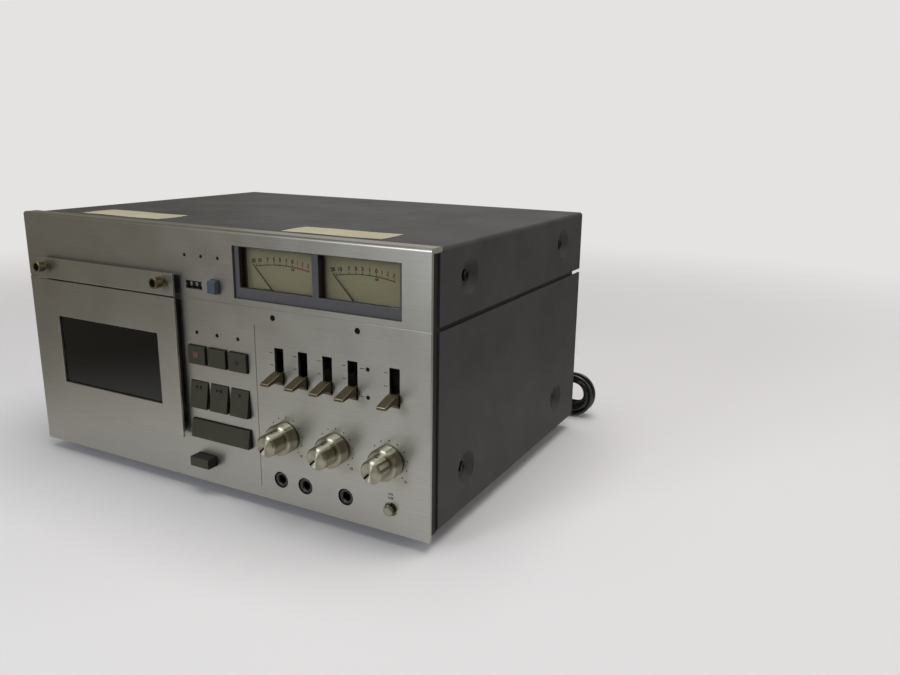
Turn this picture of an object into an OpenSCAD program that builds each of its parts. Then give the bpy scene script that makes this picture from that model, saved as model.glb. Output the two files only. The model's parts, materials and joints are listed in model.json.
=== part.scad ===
// Front-loading tape deck for large cassettes: a brushed front panel with a hinged door, keys, lever
// switches, knob pairs and needle meters, in a two-piece painted case, with its mains cord behind it.
// Millimetres. x runs right and y back from the middle of the panel's face, z up from its bottom edge.
// placed() then moves the origin to the floor under the middle of the deck.

/* [Front panel] */
// Width of the front panel
panel_w = 445; // [435:1:470]
// Height of the front panel
panel_h = 228; // [224:1:250]
// Thickness of the panel plate
panel_t = 3; // [2:0.5:4]
// Height of the panel's bottom edge above the floor
panel_lift = 10; // [8:1:14]
// Depth of the lip along the panel's top edge
lip_d = 16; // [12:1:24]
// Thickness of that lip
lip_t = 4; // [3:0.5:6]
// Radius of the panel's top front edge
panel_edge_r = 2.5; // [1:0.5:3]
// Distance of the groove below the panel's top edge, in line with the seam of the covers
groove_drop = 60.5; // [58:0.5:63]
// Width of that groove
groove_w = 1.2; // [0.8:0.1:2]

/* [Case] */
// Depth from the panel's face to the rear edge of the covers
case_d = 319; // [300:1:360]
// Sheet thickness of the covers and the chassis
cover_t = 1.6; // [1:0.1:2.5]
// Distance from the panel's face to the front edge of the covers
cover_start = 13; // [11:0.5:15]
// Radius of the covers' long edges
cover_r = 3; // [2:0.5:6]
// Height of the open seam between the two covers
seam_h = 4; // [2:0.5:6]
// Distance from the rear wall to the covers' rear edge
rear_inset = 17; // [14:1:25]
// Diameter of a dished screw recess
dish_d = 29; // [24:1:34]
// Depth of a dished screw recess
dish_depth = 5; // [3:0.5:7]
// Distance from the panel's face to the front dishes
dish_front_y = 61; // [50:1:80]
// Distance from the panel's face to the rear dishes
dish_rear_y = 265; // [240:1:275]
// Height of the lower dishes
dish_low_z = 40; // [30:1:60]
// Distance of the upper dishes below the panel's top edge
dish_high_drop = 28; // [23:1:38]
// Diameter of a cover screw's shank
screw_d = 4; // [3:0.5:5]
// Diameter of a foot
foot_d = 38; // [30:1:45]
// Height of a foot
foot_h = 14; // [13:1:18]
// Distance of the feet from the sides and from the covers' ends
foot_margin = 48; // [30:1:70]

/* [Cassette door] */
// Distance of the door's middle from the middle of the panel's left half
door_shift = -1.75; // [-4:0.25:0]
// Width of the door plate and of the head cover
door_w = 176; // [170:1:178]
// Height of the door plate's bottom edge
door_low = 40.4; // [38:0.2:42]
// How far the door's face stands in front of the panel
door_proud = 7; // [6.5:0.5:9]
// Thickness of the door plate
plate_t = 2.2; // [1.5:0.1:2.4]
// Radius of the plates' front edges
plate_r = 1; // [0.5:0.1:1.4]
// Height of the head cover
strip_h = 19.7; // [18:0.1:22]
// Gap between the door plate and the head cover
strip_gap = 1; // [0.6:0.1:2]
// Width of the window
window_w = 129.6; // [110:0.2:134]
// Height of the window
window_h = 65; // [50:1:80]
// Height of the window's bottom edge
window_low = 68; // [64:1:75]
// Thickness of the window pane
pane_t = 2; // [1:0.5:2.5]
// Width of the cassette that the carrier takes
cassette_w = 152; // [146:1:153]
// Thickness of that cassette
cassette_t = 18; // [14:1:19]
// Wall thickness of the cassette carrier
carrier_wall = 1.8; // [1.2:0.1:2.2]
// Height of the carrier's shelf
shelf_z = 54; // [52:1:58]
// Distance of the carrier's top below the head cover
carrier_drop = 18; // [16:1:50]
// Height of the door's hinge pins
hinge_z = 46; // [45:0.5:48]
// Diameter of a hinge pin
hinge_pin_d = 3; // [2:0.5:3.5]
// Diameter of a thumbscrew's head
thumb_d = 10; // [8:0.5:12]
// Length of a thumbscrew's head
thumb_l = 10; // [6:0.5:12]

/* [Transport] */
// Distance between the reel spindles
reel_pitch = 72; // [66:1:74]
// Distance of the reel spindles below the capstans
reel_drop = 60; // [59:1:64]
// Diameter of a reel spindle's hub
reel_hub_d = 14; // [10:1:18]
// Distance between the capstans
capstan_pitch = 104; // [102:1:108]
// Distance of the capstans below the head cover
capstan_drop = 4; // [3:0.5:5]
// Diameter of a capstan
capstan_d = 3; // [2:0.5:4]
// Diameter of a flywheel
flywheel_d = 68; // [50:1:70]
// Thickness of a flywheel
flywheel_t = 12; // [6:1:16]
// Diameter of a reel motor
reel_motor_d = 50; // [36:1:52]
// Diameter of the capstan motor
capstan_motor_d = 32; // [24:1:34]

/* [Keys and buttons] */
// Distance of the first key column from the door's right edge
key_start = 17.5; // [17:0.5:18]
// Distance between the key columns
key_pitch = 23; // [22.6:0.1:23.4]
// Width of a key well
key_w = 20.5; // [18:0.1:20.8]
// Height of the upper key row's middle
row1_z = 117.8; // [115:0.1:120]
// Height of an upper key well
row1_h = 17.5; // [14:0.1:20]
// Height of the second key row's middle
row2_z = 82; // [80:0.1:84]
// Height of a well in the second row
row2_h = 25; // [20:0.1:26]
// Height of the stop key's middle
stop_z = 50.8; // [49:0.1:52]
// Height of the stop key's well
stop_h = 17.5; // [14:0.1:19]
// Gap between a key and its well
key_gap = 0.45; // [0.3:0.05:0.8]
// Diameter of a key's stem
stem_d = 6; // [4:0.5:7]
// Distance of the eject button's middle from the door's right edge
eject_start = 21; // [20:0.5:22]
// Height of the eject button's middle
eject_z = 22; // [20:0.5:24]
// Width of the eject button
eject_w = 21; // [18:0.5:24]
// Height of the eject button
eject_h = 9; // [7.5:0.5:11]
// How far the eject button stands out
eject_proud = 11; // [8:0.5:13]
// Distance of the reset button's middle from the door's right edge
reset_start = 42; // [41:0.5:45]
// Height of the reset button's middle above the groove
reset_rise = 12.5; // [10.5:0.5:14.5]
// Width of the reset button
reset_w = 8.5; // [7:0.5:10]
// Height of the reset button
reset_h = 11; // [9:0.5:12]
// How far the reset button stands out
reset_proud = 5.5; // [4:0.5:8]
// Place of the power button across the panel
power_x = 187.5; // [184:0.5:190]
// Height of the power button's middle
power_z = 20.5; // [18:0.5:24]
// Diameter of the power button
power_d = 8.5; // [7.5:0.5:10]
// How far the power button stands out
power_proud = 5.5; // [5:0.5:9]

/* [Levers] */
// Place of the first lever
lever_x0 = 81.5; // [80:0.5:83]
// Distance between the first four levers
lever_pitch = 24; // [22:0.5:25]
// Place of the lever that stands apart
lever_last_x = 191.5; // [188:0.5:195]
// Distance of the middle of the slots below the groove
lever_drop = 47; // [45:0.5:50]
// Height of a slot
slot_h = 31; // [30:0.5:34]
// Width of a slot
slot_w = 9.2; // [9:0.1:11]
// Gap between a lever and its slot, at each side
lever_gap = 0.4; // [0.3:0.05:0.8]
// How far a lever stands out
lever_proud = 19.5; // [14:0.5:22]
// Height of a lever where it leaves its slot
lever_root_h = 10.8; // [8:0.1:11]
// Height of a lever's tip
lever_tip_h = 2.5; // [1.5:0.1:4]
// Distance from the panel's face to the lever pivots
lever_pivot_y = 36; // [34:0.5:38]
// Diameter of a lever's pivot pin
lever_pin_d = 3; // [2:0.5:4]

/* [Knobs] */
// Place of the first knob pair
knob_x0 = 86; // [84:0.5:88]
// Distance between the knob pairs
knob_pitch = 50.2; // [48:0.1:51]
// Height of the knob pairs
knob_z = 61; // [58:0.5:64]
// Diameter of a knob ring
ring_d = 26; // [23:0.5:29]
// Length of a knob ring
ring_l = 12.5; // [10:0.5:16]
// Diameter of a centre knob
centre_d = 18.5; // [14:0.5:21]
// Length of a centre knob
centre_l = 14; // [11:0.5:17]
// Diameter of the centre knob's shaft
shaft_d = 6; // [4:0.5:6.5]
// Diameter of a potentiometer's case
pot_d = 24; // [18:0.5:28]

/* [Meters] */
// Place of the meter opening's left edge
meter_x0 = 37; // [36:0.5:38]
// Width of the meter opening
meter_w = 161; // [158:0.5:164]
// Height of the meter opening's bottom edge above the groove
meter_rise = 5; // [4.5:0.1:5.5]
// Height of the meter opening
meter_h = 43.5; // [42:0.1:44.5]
// How far the bezel's face lies behind the panel's face
bezel_set = 2.1; // [0.5:0.1:2.5]
// Width of the bezel's left stile
bezel_left = 5; // [3:0.1:6]
// Width of the bezel's right stile
bezel_right = 3; // [2:0.1:5]
// Width of the divider between the dials
bezel_mid = 6; // [5:0.1:8]
// Height of the bezel's bottom rail
bezel_low = 9; // [7:0.1:10]
// Length of a needle
needle_l = 41; // [36:0.5:42]
// Distance of the needle pivots below the meter opening
needle_drop = 1.7; // [1.1:0.1:2.5]
// Angle of a needle at rest, left of upright
needle_rest = 43.6; // [38:0.1:46]

/* [Counter] */
// Distance of the counter window's middle from the door's right edge
counter_start = 17.75; // [16:0.25:19]
// Height of the counter window's middle above the groove
counter_rise = 11.5; // [10.5:0.5:12.5]
// Width of the counter window
counter_w = 18.5; // [17:0.25:20]
// Height of the counter window
counter_h = 7; // [5:0.25:9]
// Diameter of a number wheel
wheel_d = 16; // [14:0.5:18]

/* [Sockets] */
// Place of the first front jack
jack_a_x = 78.5; // [77:0.5:80]
// Place of the second front jack
jack_b_x = 104; // [102:0.5:106]
// Place of the third front jack
jack_c_x = 144.5; // [142:0.5:147]
// Height of the front jacks
jack_z = 20.5; // [19:0.5:23]
// Diameter of a jack's bore
jack_bore_d = 6.5; // [6.4:0.1:6.7]
// Diameter of the panel hole around a jack
jack_hole_d = 14.5; // [13:0.5:16]
// Place of the line sockets' middle across the rear wall
line_x = -40; // [-60:1:-20]
// Height of the line sockets' middle
line_z = 60; // [50:1:80]
// Distance between the line sockets
line_pitch = 20; // [18:1:24]
// Diameter of a line socket's collar
line_d = 8.3; // [8:0.1:8.6]
// Length of a line socket's collar
line_l = 9; // [7:0.5:10]

/* [Cord] */
// Diameter of the mains cord
cord_d = 4.2; // [4:0.1:4.4]
// Length of the straight runs of the hank
hank_run = 66; // [63:1:84]
// Turns in each layer of the hank
hank_turns = 2; // [1:1:3]
// Layers of the hank
hank_layers = 4; // [2:2:4]
// Fold radius of the innermost turn
hank_fold_r = 13; // [12.6:0.1:16]
// How far each run is drawn in at the waist
hank_waist = 4; // [1:0.5:5]
// Distance from one strand to the next
hank_step = 5.1; // [5:0.1:6]

/* [Hidden] */
$fn = 48;

// Clearances: seat between fixed pieces, run around a turning shaft, slip beside a sliding piece
seat = 0.1;
run = 0.1;
slip = 0.3;
eps = 0.01;

// Main planes of the case
floor_z = -panel_lift;
half_w = panel_w / 2;
side_x = half_w - seat;
inner_x = side_x - cover_t;
cover_low = floor_z + foot_h;
cover_top = panel_h - 1;
lip_low = panel_h - lip_t;
groove_z = panel_h - groove_drop;
dish_high_z = panel_h - dish_high_drop;
seam_low = groove_z + 1 - seam_h;
seam_high = groove_z + 1;
wall_back = case_d - rear_inset;
wall_front = wall_back - cover_t;
base_low = cover_low + cover_t;
base_top = base_low + cover_t;
knob_l = ring_l + centre_l + 0.3;
depth_mid = (case_d - knob_l) / 2;

// Front frame behind the panel
frame_t = 2;
frame_back = cover_start - 0.5;
frame_front = frame_back - frame_t;
frame_low = 3.5;
rim_t = 1.6;

// Dished recesses and the chassis posts behind them
dish_floor_d = 16;
dish_y = [dish_front_y, dish_rear_y];
dish_z = [dish_low_z, dish_high_z];
post_face = side_x - dish_depth - cover_t - seat;
post_t = 5;
post_w = 16;
screw_head_d = 9;
screw_head_h = 2.2;

// Door, carrier and cassette well
door_x = -panel_w / 4 + door_shift;
door_x0 = door_x - door_w / 2;
door_x1 = door_x + door_w / 2;
strip_low = groove_z + 0.5;
strip_top = strip_low + strip_h;
door_top = strip_low - strip_gap;
plate_back = plate_t - door_proud;
open_low = door_low + 2;
open_top = strip_top - 4.7;
rim_back = -0.7;
rim_in = 2;
hinge_y = -1.5;
carrier_half = cassette_w / 2 + 0.5 + carrier_wall;
ear_t = 3.3;
ear_gap = 0.4;
open_x0 = door_x - carrier_half - ear_gap - ear_t;
open_x1 = door_x + carrier_half + ear_gap + ear_t;
pocket_back = rim_back + cassette_t + 2;
carrier_back = pocket_back + 2;
carrier_top = strip_low - carrier_drop;
lip_w = 12;
well_back = carrier_back + 4;
well_wall = 3.8;
well_x0 = open_x0 - 0.2;
well_x1 = open_x1 + 0.2;
well_low = open_low - 0.5;
well_top = open_top + 1;
ear_r = 3;
thumb_z = strip_low + 12;
thumb_x = open_x1 - door_x - 6.5;
thumb_shank_r = 2;
seat_open = thumb_x - 12;

// Deck plate and what turns on it
deck_front = well_back;
deck_t = 2.5;
deck_back = deck_front + deck_t;
deck_margin = 7;
spindle_tip = 9;
capstan_tip = 6;
reel_shaft_d = 6;
capstan_z = strip_low - capstan_drop;
reel_z = capstan_z - reel_drop;
reel_x = [door_x - reel_pitch / 2, door_x + reel_pitch / 2];
capstan_x = [door_x - capstan_pitch / 2, door_x + capstan_pitch / 2];
capstan_motor_z = capstan_z + capstan_motor_d / 2 + 10;
reel_motor_l = 34;
capstan_motor_l = 26;
motor_cap_l = 4;
head_r = 6;
head_pitch = 26;
head_bar_w = 2 * head_pitch + 42;

// Keys: wells, flanges behind the panel and the switches that the stems press
flange_front = panel_t + 0.15;
flange_t = 1.5;
flange_side = 0.6;
stem_end = cover_start + 3;
board_front = 44;
board_t = 1.6;
switch_front = stem_end + 2.6;
stop_w = 2 * key_pitch + key_w;
key_x0 = door_x1 + key_start;
eject_x = door_x1 + eject_start;
reset_x = door_x1 + reset_start;
reset_z = groove_z + reset_rise;
mark_x = key_x0 + 2 * key_pitch + 18.5;
function key_x(i) = key_x0 + i * key_pitch;

// Levers, knobs and lamps
lever_z = groove_z - lever_drop;
lever_w = slot_w - 2 * lever_gap;
lever_low = -slot_h / 2 + 0.5;
lever_boss_r = 4;
cheek_t = 1.8;
function lever_x(i) = i < 4 ? lever_x0 + i * lever_pitch : lever_last_x;
function knob_x(i) = knob_x0 + i * knob_pitch;
tube_r = shaft_d / 2 + run + 0.8;
bush_r = tube_r + run + 1.8;

// Lamps as [x, z, radius]: above the counter, below the meters, above the keys and beside the fourth lever
counter_x = door_x1 + counter_start;
counter_z = groove_z + counter_rise;
lamp_small = 1.5;
lamp_key = 1.75;
lamp_large = 2.5;
lamp_pitch = 18.5;
lamp_side_x = lever_x(3) + 14;
lamps = [
    for (i = [0 : 2]) [counter_x - 8.75 + i * lamp_pitch, counter_z + 25, lamp_small],
    for (i = [0 : 2]) [key_x(i), row1_z + 20, lamp_key],
    [lever_x(0) - 5, groove_z - 7, lamp_large], [lever_x(3) + 5, groove_z - 7, lamp_large],
    [lamp_side_x, lever_z + 11, lamp_key], [lamp_side_x, lever_z - 11.5, lamp_key]
];

// Meters: dial windows, glass and movement cases
meter_x1 = meter_x0 + meter_w;
meter_z0 = groove_z + meter_rise;
meter_z1 = meter_z0 + meter_h;
needle_z = meter_z0 - needle_drop;
dial_w = (meter_w - bezel_left - bezel_mid - bezel_right) / 2;
dial_x = [meter_x0 + bezel_left + dial_w / 2, meter_x1 - bezel_right - dial_w / 2];
dial_low = meter_z0 + bezel_low;
bezel_back = 12.6;
glass_y = 6.2;
glass_t = 1.2;
ledge = 1.4;
dial_y = bezel_back + seat;
movement_d = 29;
case_back = dial_y + movement_d;
needle_y = 9.8;
needle_t = 0.6;

// Counter
wheel_w = counter_w / 3 - 0.5;
wheel_y = panel_t + 0.4 + wheel_d / 2;
axle_r = 1.2;
counter_wall = 1.2;
counter_box = wheel_d / 2 + 1 + counter_wall;
function wheel_x(i) = counter_x + (i - 1) * counter_w / 3;

// Sockets
jack_x = [jack_a_x, jack_b_x, jack_c_x];
jack_mouth = panel_t + 0.05;
jack_bore_end = frame_front - seat;
jack_back = 38;

// Transformer on the chassis base: laminated core, coil and foot plate
core_x = inner_x - 86;
core_y = 220;
core_w = 70;
core_d = 36;
core_h = 62;
coil_w = 46;
coil_d = 60;
coil_h = 40;
foot_plate_w = 84;
foot_plate_t = 3;

// Main board on its pillars, with a row of capacitors
main_x0 = 31 - inner_x;
main_x1 = core_x - 55;
main_y0 = core_y - 110;
main_y1 = wall_front - 20;
main_rise = 12;
pillar_d = 7;
pillar_in = 6;
cap_d = 18;
cap_h = 32;
cap_pitch = 30;

// Cord: gland, hank and the free stretches, with heights counted from the floor
gland_x = 100;
gland_h = 42;
gland_end = wall_back + 24;
cord_r = cord_d / 2;
hank_x = 177;
hank_y = 354;
hank_out_r = hank_fold_r + hank_turns * hank_step;
hank_t0 = -1 / 6;
hank_t1 = hank_turns * hank_layers - 0.375;
hank_h = hank_out_r + hank_step / 6 + cord_r;
rings_per_loop = 24;
lead_points = [
    [100, 331, 42], [100, 336, 42], [100, 341, 41.3], [100, 345.5, 39.2], [100, 349.5, 35.8],
    [100, 352.3, 31.6], [100, 353.7, 27], [100.3, 354, 22], [101.8, 354, 16.8], [104.8, 354, 12],
    [109, 354, 8], [114.5, 354, 5], [121, 354, 3], [128, 354, 2.2], [136, 354, 2.1]
];
tail_y = hank_y + (hank_layers - 1) * hank_step;
tail_xz = [[119.5, 22.6], [116.7, 17.6], [112.8, 13.4], [108, 10.2], [102.6, 8.2], [96.9, 7.5]];
tail_points = [for (p = tail_xz) [p[0], tail_y, p[1]]];
plug_end = 94;
plug_l = 30;
plug_w = 22;
plug_h = 15;
blade_l = 17;

// Moves the deck so that the origin lies on the floor under its middle
module placed() {
    translate([0, -depth_mid, -floor_z])
        children();
}

module block(x0, x1, y0, y1, z0, z1) {
    translate([x0, y0, z0])
        cube([x1 - x0, y1 - y0, z1 - z0]);
}

module rod_x(r, x0, x1, y, z) {
    translate([x0, y, z])
        rotate([0, 90, 0])
            cylinder(r = r, h = x1 - x0);
}

module rod_y(r, x, z, y0, y1) {
    translate([x, y0, z])
        rotate([-90, 0, 0])
            cylinder(r = r, h = y1 - y0);
}

// Turns a profile of [radius, y] points around the line along y through x, z
module turned_y(x, z, points) {
    translate([x, 0, z])
        rotate([-90, 0, 0])
            rotate_extrude()
                polygon(points);
}

// Extrudes an outline of [x, z] points along y
module extrude_y(y0, y1) {
    translate([0, y1, 0])
        rotate([90, 0, 0])
            linear_extrude(y1 - y0)
                children();
}

// Extrudes an outline of [y, z] points along x
module extrude_x(x0, x1) {
    translate([x0, 0, 0])
        rotate([90, 0, 90])
            linear_extrude(x1 - x0)
                children();
}

module both_sides() {
    children();
    mirror([1, 0, 0])
        children();
}

// A rectangle with round corners of radius r
module round_rect(x0, x1, z0, z1, r) {
    translate([x0 + r, z0])
        square([x1 - x0 - 2 * r, z1 - z0]);
    translate([x0, z0 + r])
        square([x1 - x0, z1 - z0 - 2 * r]);
    for (x = [x0 + r, x1 - r], z = [z0 + r, z1 - r])
        translate([x, z])
            circle(r);
}

// Panel section: the plate, the lip along its top, their rounded edges and a square corner below the lip
module panel_section() {
    difference() {
        union() {
            square([panel_t, panel_h - panel_edge_r]);
            translate([panel_edge_r, lip_low])
                square([lip_d - lip_t / 2 - panel_edge_r, lip_t]);
            translate([panel_edge_r, panel_h - panel_edge_r])
                circle(panel_edge_r);
            translate([lip_d - lip_t / 2, panel_h - lip_t / 2])
                circle(lip_t / 2);
        }
        translate([panel_t, 0])
            square([lip_d, lip_low]);
    }
}

// The wells of the keys, grown by g on every side
module key_wells(y0, y1, g) {
    for (i = [0 : 2]) {
        well(key_x(i), row1_z, key_w, row1_h, y0, y1, g);
        well(key_x(i), row2_z, key_w, row2_h, y0, y1, g);
    }
    well(key_x(1), stop_z, stop_w, stop_h, y0, y1, g);
    well(eject_x, eject_z, eject_w + 2 * key_gap, eject_h + 2 * key_gap, y0, y1, g);
    well(reset_x, reset_z, reset_w + 2 * key_gap, reset_h + 2 * key_gap, y0, y1, g);
}

module well(x, z, w, h, y0, y1, g) {
    block(x - w / 2 - g, x + w / 2 + g, y0, y1, z - h / 2 - g, z + h / 2 + g);
}

module front_panel() {
    color([0.72, 0.71, 0.67])
        difference() {
            extrude_x(-half_w, half_w)
                panel_section();
            well(0, groove_z, panel_w + 2, groove_w, -1, groove_w / 2, 0);
            block(mark_x - 0.4, mark_x + 0.4, -1, 0.4, 10, groove_z - 15);
            block(open_x0, open_x1, -1, panel_t + 1, open_low, open_top);
            block(meter_x0, meter_x1, -1, panel_t + 1, meter_z0, meter_z1);
            well(counter_x, counter_z, counter_w, counter_h, -1, panel_t + 1, 0);
            key_wells(-1, panel_t + 1, 0);
            for (i = [0 : 4])
                well(lever_x(i), lever_z, slot_w, slot_h, -1, panel_t + 1, 0);
            for (lamp = lamps)
                rod_y(lamp[2], lamp[0], lamp[1], -1, panel_t + 1);
            for (i = [0 : 2])
                rod_y(tube_r + slip, knob_x(i), knob_z, -1, panel_t + 1);
            for (x = jack_x)
                rod_y(jack_hole_d / 2, x, jack_z, -1, panel_t + 1);
            rod_y(power_d / 2 + 1.5, power_x, power_z, -1, panel_t + 1);
        }
}

// Folded frame: a plate with a rim that reaches forward to the panel's back
module front_frame() {
    x1 = half_w - 1.5;
    z1 = lip_low - seat;
    color([0.05, 0.05, 0.05])
        difference() {
            block(-x1, x1, panel_t, frame_back, frame_low, z1);
            block(-x1 + rim_t, x1 - rim_t, panel_t - 1, frame_front, frame_low + rim_t, z1 - rim_t);
            frame_openings();
        }
}

module frame_openings() {
    y0 = frame_front - 1;
    y1 = frame_back + 1;
    g = well_wall + 1;
    block(well_x0 - g, well_x1 + g, y0, y1, well_low - g, well_top + g);
    block(meter_x0 - 4, meter_x1 + 4, y0, y1, needle_z - 8, meter_z1 + 4);
    well(counter_x, counter_z, counter_w + 2 * counter_wall, 2 * counter_box, y0, y1, 1);
    block(lever_x(0) - 12, lever_x(4) + 12, y0, y1, lever_z - slot_h / 2 - 7, lever_z + slot_h / 2 + 7);
    for (p = stem_places())
        rod_y(stem_d / 2 + slip, p[0], p[1], y0, y1);
    for (i = [0 : 2])
        rod_y(bush_r + slip, knob_x(i), knob_z, y0, y1);
    for (x = jack_x)
        rod_y(jack_hole_d / 2 - 1 + seat, x, jack_z, y0, y1);
}

// Places of all round stems that the front frame guides
function stem_places() = concat(
    key_stems(), [[eject_x, eject_z], [reset_x, reset_z], [power_x, power_z]]
);

// Places of the key stems, one behind each key and two behind the stop key
function key_stems() = concat(
    [for (i = [0 : 2], z = [row1_z, row2_z]) [key_x(i), z]], [[key_x(0), stop_z], [key_x(2), stop_z]]
);

// Folded chassis: base, rear wall, side rails behind the seam and posts for the cover screws
module chassis() {
    x1 = inner_x - 2.4;
    front = frame_back + seat;
    color([0.09, 0.09, 0.09])
        difference() {
            union() {
                block(-x1, x1, front, wall_back, base_low, base_top);
                block(-x1, x1, wall_front, wall_back, base_low, cover_top - cover_t - 1);
                both_sides() {
                    block(x1 - cover_t, inner_x - 0.2, front, wall_back, seam_low - 10, seam_high + 8);
                    for (y = dish_y)
                        translate([post_face - post_t, y - post_w / 2, base_low])
                            cube([post_t, post_w, dish_high_z + 12 - base_low]);
                }
            }
            for (y = dish_y, z = dish_z)
                rod_x(screw_d / 2 + seat, -half_w, half_w, y, z);
            rod_y(gland_neck_r() + seat, gland_x, floor_z + gland_h, wall_front - 1, wall_back + 1);
            for (x = [-0.5, 0.5], z = [-0.5, 0.5])
                translate([x * line_pitch, 0, z * line_pitch])
                    rod_y(line_d / 2 + slip, line_x, line_z, wall_front - 1, wall_back + 1);
        }
}

// Section of the upper cover: top and sides, open below
module top_section() {
    difference() {
        round_rect(-side_x, side_x, seam_high - cover_r, cover_top, cover_r);
        translate([-inner_x, seam_high - 2 * cover_r])
            square([2 * inner_x, cover_top - cover_t - seam_high + 2 * cover_r]);
        translate([-half_w, seam_high - 2 * cover_r])
            square([panel_w, 2 * cover_r]);
    }
}

// Section of the lower cover: bottom and sides, open above
module bottom_section() {
    difference() {
        round_rect(-side_x, side_x, cover_low, seam_low + cover_r, cover_r);
        translate([-inner_x, base_low])
            square([2 * inner_x, seam_low + 2 * cover_r - base_low]);
        translate([-half_w, seam_low])
            square([panel_w, 2 * cover_r]);
    }
}

// A pressed cup, with its axis along x, its rim flush with the cover's side and a hole for the screw
module dish(y, z) {
    r1 = dish_d / 2;
    r0 = dish_floor_d / 2;
    hole_r = screw_d / 2 + 0.2;
    back = dish_depth + cover_t;
    translate([side_x, y, z])
        rotate([0, -90, 0])
            rotate_extrude()
                polygon([
                    [hole_r, dish_depth], [r0, dish_depth], [r1, 0], [r1 + 1.5, 0], [r1 + 1.5, cover_t],
                    [r1 + 0.6, cover_t], [r0 + 0.6, back], [hole_r, back]
                ]);
}

module dish_pair(z) {
    both_sides()
        for (y = dish_y)
            dish(y, z);
}

module dish_holes(z) {
    for (y = dish_y)
        rod_x(dish_d / 2 + 0.5, -half_w, half_w, y, z);
}

module top_cover() {
    color([0.2, 0.19, 0.19]) {
        difference() {
            extrude_y(cover_start, case_d)
                top_section();
            block(-half_w, half_w, cover_start - 1, lip_d + slip, lip_low - 0.2, panel_h + 1);
            dish_holes(dish_high_z);
        }
        dish_pair(dish_high_z);
    }
}

module bottom_cover() {
    color([0.2, 0.19, 0.19]) {
        difference() {
            extrude_y(cover_start, case_d)
                bottom_section();
            dish_holes(dish_low_z);
        }
        dish_pair(dish_low_z);
    }
}

module cover_screws() {
    floor_x = side_x - dish_depth;
    color([0.1, 0.1, 0.1])
        both_sides()
            for (y = dish_y, z = dish_z) {
                rod_x(screw_d / 2, post_face - post_t - 2, floor_x + eps, y, z);
                rod_x(screw_head_d / 2, floor_x, floor_x + screw_head_h, y, z);
            }
}

// Tapered feet with a screw recess
module feet() {
    r = foot_d / 2;
    color([0.06, 0.06, 0.06])
        for (x = [-half_w + foot_margin, half_w - foot_margin])
            for (y = [cover_start + foot_margin, case_d - foot_margin])
                translate([x, y, floor_z])
                    rotate_extrude()
                        polygon([
                            [6, 0], [r - 2.5, 0], [r - 1.5, 1], [r, foot_h], [2.5, foot_h], [2.5, 5], [6, 5]
                        ]);
}

// Moulded bezel: two dial windows with a ledge for the glass behind them
module meter_bezel() {
    x0 = meter_x0 + 0.2;
    x1 = meter_x1 - 0.2;
    color([0.33, 0.33, 0.36])
        difference() {
            union() {
                block(x0, x1, bezel_set, bezel_back, meter_z0 + 0.2, meter_z1 - 0.2);
                block(x0 - 3, x1 + 3, panel_t + seat, panel_t + 2, meter_z0 - 3, meter_z1 + 3);
            }
            for (x = dial_x) {
                block(x - dial_w / 2, x + dial_w / 2, bezel_set - 1, bezel_back + 1, dial_low, meter_z1 - 1);
                block(
                    x - dial_w / 2 - ledge, x + dial_w / 2 + ledge, glass_y, bezel_back + 1,
                    meter_z0 + 1.6, meter_z1 - 1
                );
                block(x - 18, x + 18, needle_y - 1.5, bezel_back + 1, meter_z0 - 1, meter_z0 + 2);
            }
        }
}

// Movement cases with the dial as their front face and a stub that carries the needle
module meter_movements() {
    color([0.8, 0.76, 0.6])
        for (x = dial_x) {
            block(x - dial_w / 2, x + dial_w / 2, dial_y, case_back, needle_z - 6, meter_z1 + 1);
            rod_y(1.2, x, needle_z, needle_y - 0.6, dial_y + eps);
        }
}

module meter_glass() {
    color([0.8, 0.85, 0.85, 0.3])
        for (x = dial_x)
            block(
                x - dial_w / 2 - ledge + seat, x + dial_w / 2 + ledge - seat,
                glass_y + eps, glass_y + glass_t, meter_z0 + 1.6 + seat, meter_z1 - 1 - seat
            );
}

// A hub on the movement's stub with a tapered pointer
module needle(x) {
    color([0.1, 0.08, 0.08])
        translate([x, 0, needle_z])
            rotate([0, -needle_rest, 0])
                difference() {
                    union() {
                        rod_y(2.6, 0, 0, needle_y, needle_y + 1.8);
                        extrude_y(needle_y, needle_y + needle_t)
                            polygon([[-0.7, 0], [-0.25, needle_l], [0.25, needle_l], [0.7, 0]]);
                    }
                    rod_y(1.2 + run, 0, 0, needle_y - 1, needle_y + 3);
                }
}

module needle_left() {
    needle(dial_x[0]);
}

module needle_right() {
    needle(dial_x[1]);
}

module indicator_lamps() {
    color([0.25, 0.05, 0.05])
        for (lamp = lamps)
            turned_y(lamp[0], lamp[1], [
                [0, 0.2], [lamp[2] * 0.6, 0.4], [lamp[2] - 0.06, 1.2], [lamp[2] - 0.06, panel_t + 0.2],
                [lamp[2] + 0.6, panel_t + 0.2], [lamp[2] + 0.6, panel_t + 1.2], [lamp[2], panel_t + 1.2],
                [lamp[2], 9], [0, 9]
            ]);
}

// Open-fronted box with the axle of the number wheels
module counter_case() {
    w = counter_w / 2 + counter_wall;
    y1 = wheel_y + counter_box;
    color([0.06, 0.06, 0.06])
        union() {
            difference() {
                block(
                    counter_x - w, counter_x + w, panel_t + 0.05, y1,
                    counter_z - counter_box, counter_z + counter_box
                );
                well(
                    counter_x, counter_z, counter_w, 2 * (counter_box - counter_wall),
                    panel_t - 1, y1 - counter_wall, 0
                );
            }
            rod_x(axle_r, counter_x - w + eps, counter_x + w - eps, wheel_y, counter_z);
        }
}

module number_wheel(i) {
    color([0.08, 0.08, 0.08])
        translate([wheel_x(i) - wheel_w / 2, wheel_y, counter_z])
            rotate([0, 90, 0])
                difference() {
                    cylinder(d = wheel_d, h = wheel_w);
                    translate([0, 0, -1])
                        cylinder(r = axle_r + run, h = wheel_w + 2);
                }
}

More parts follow.
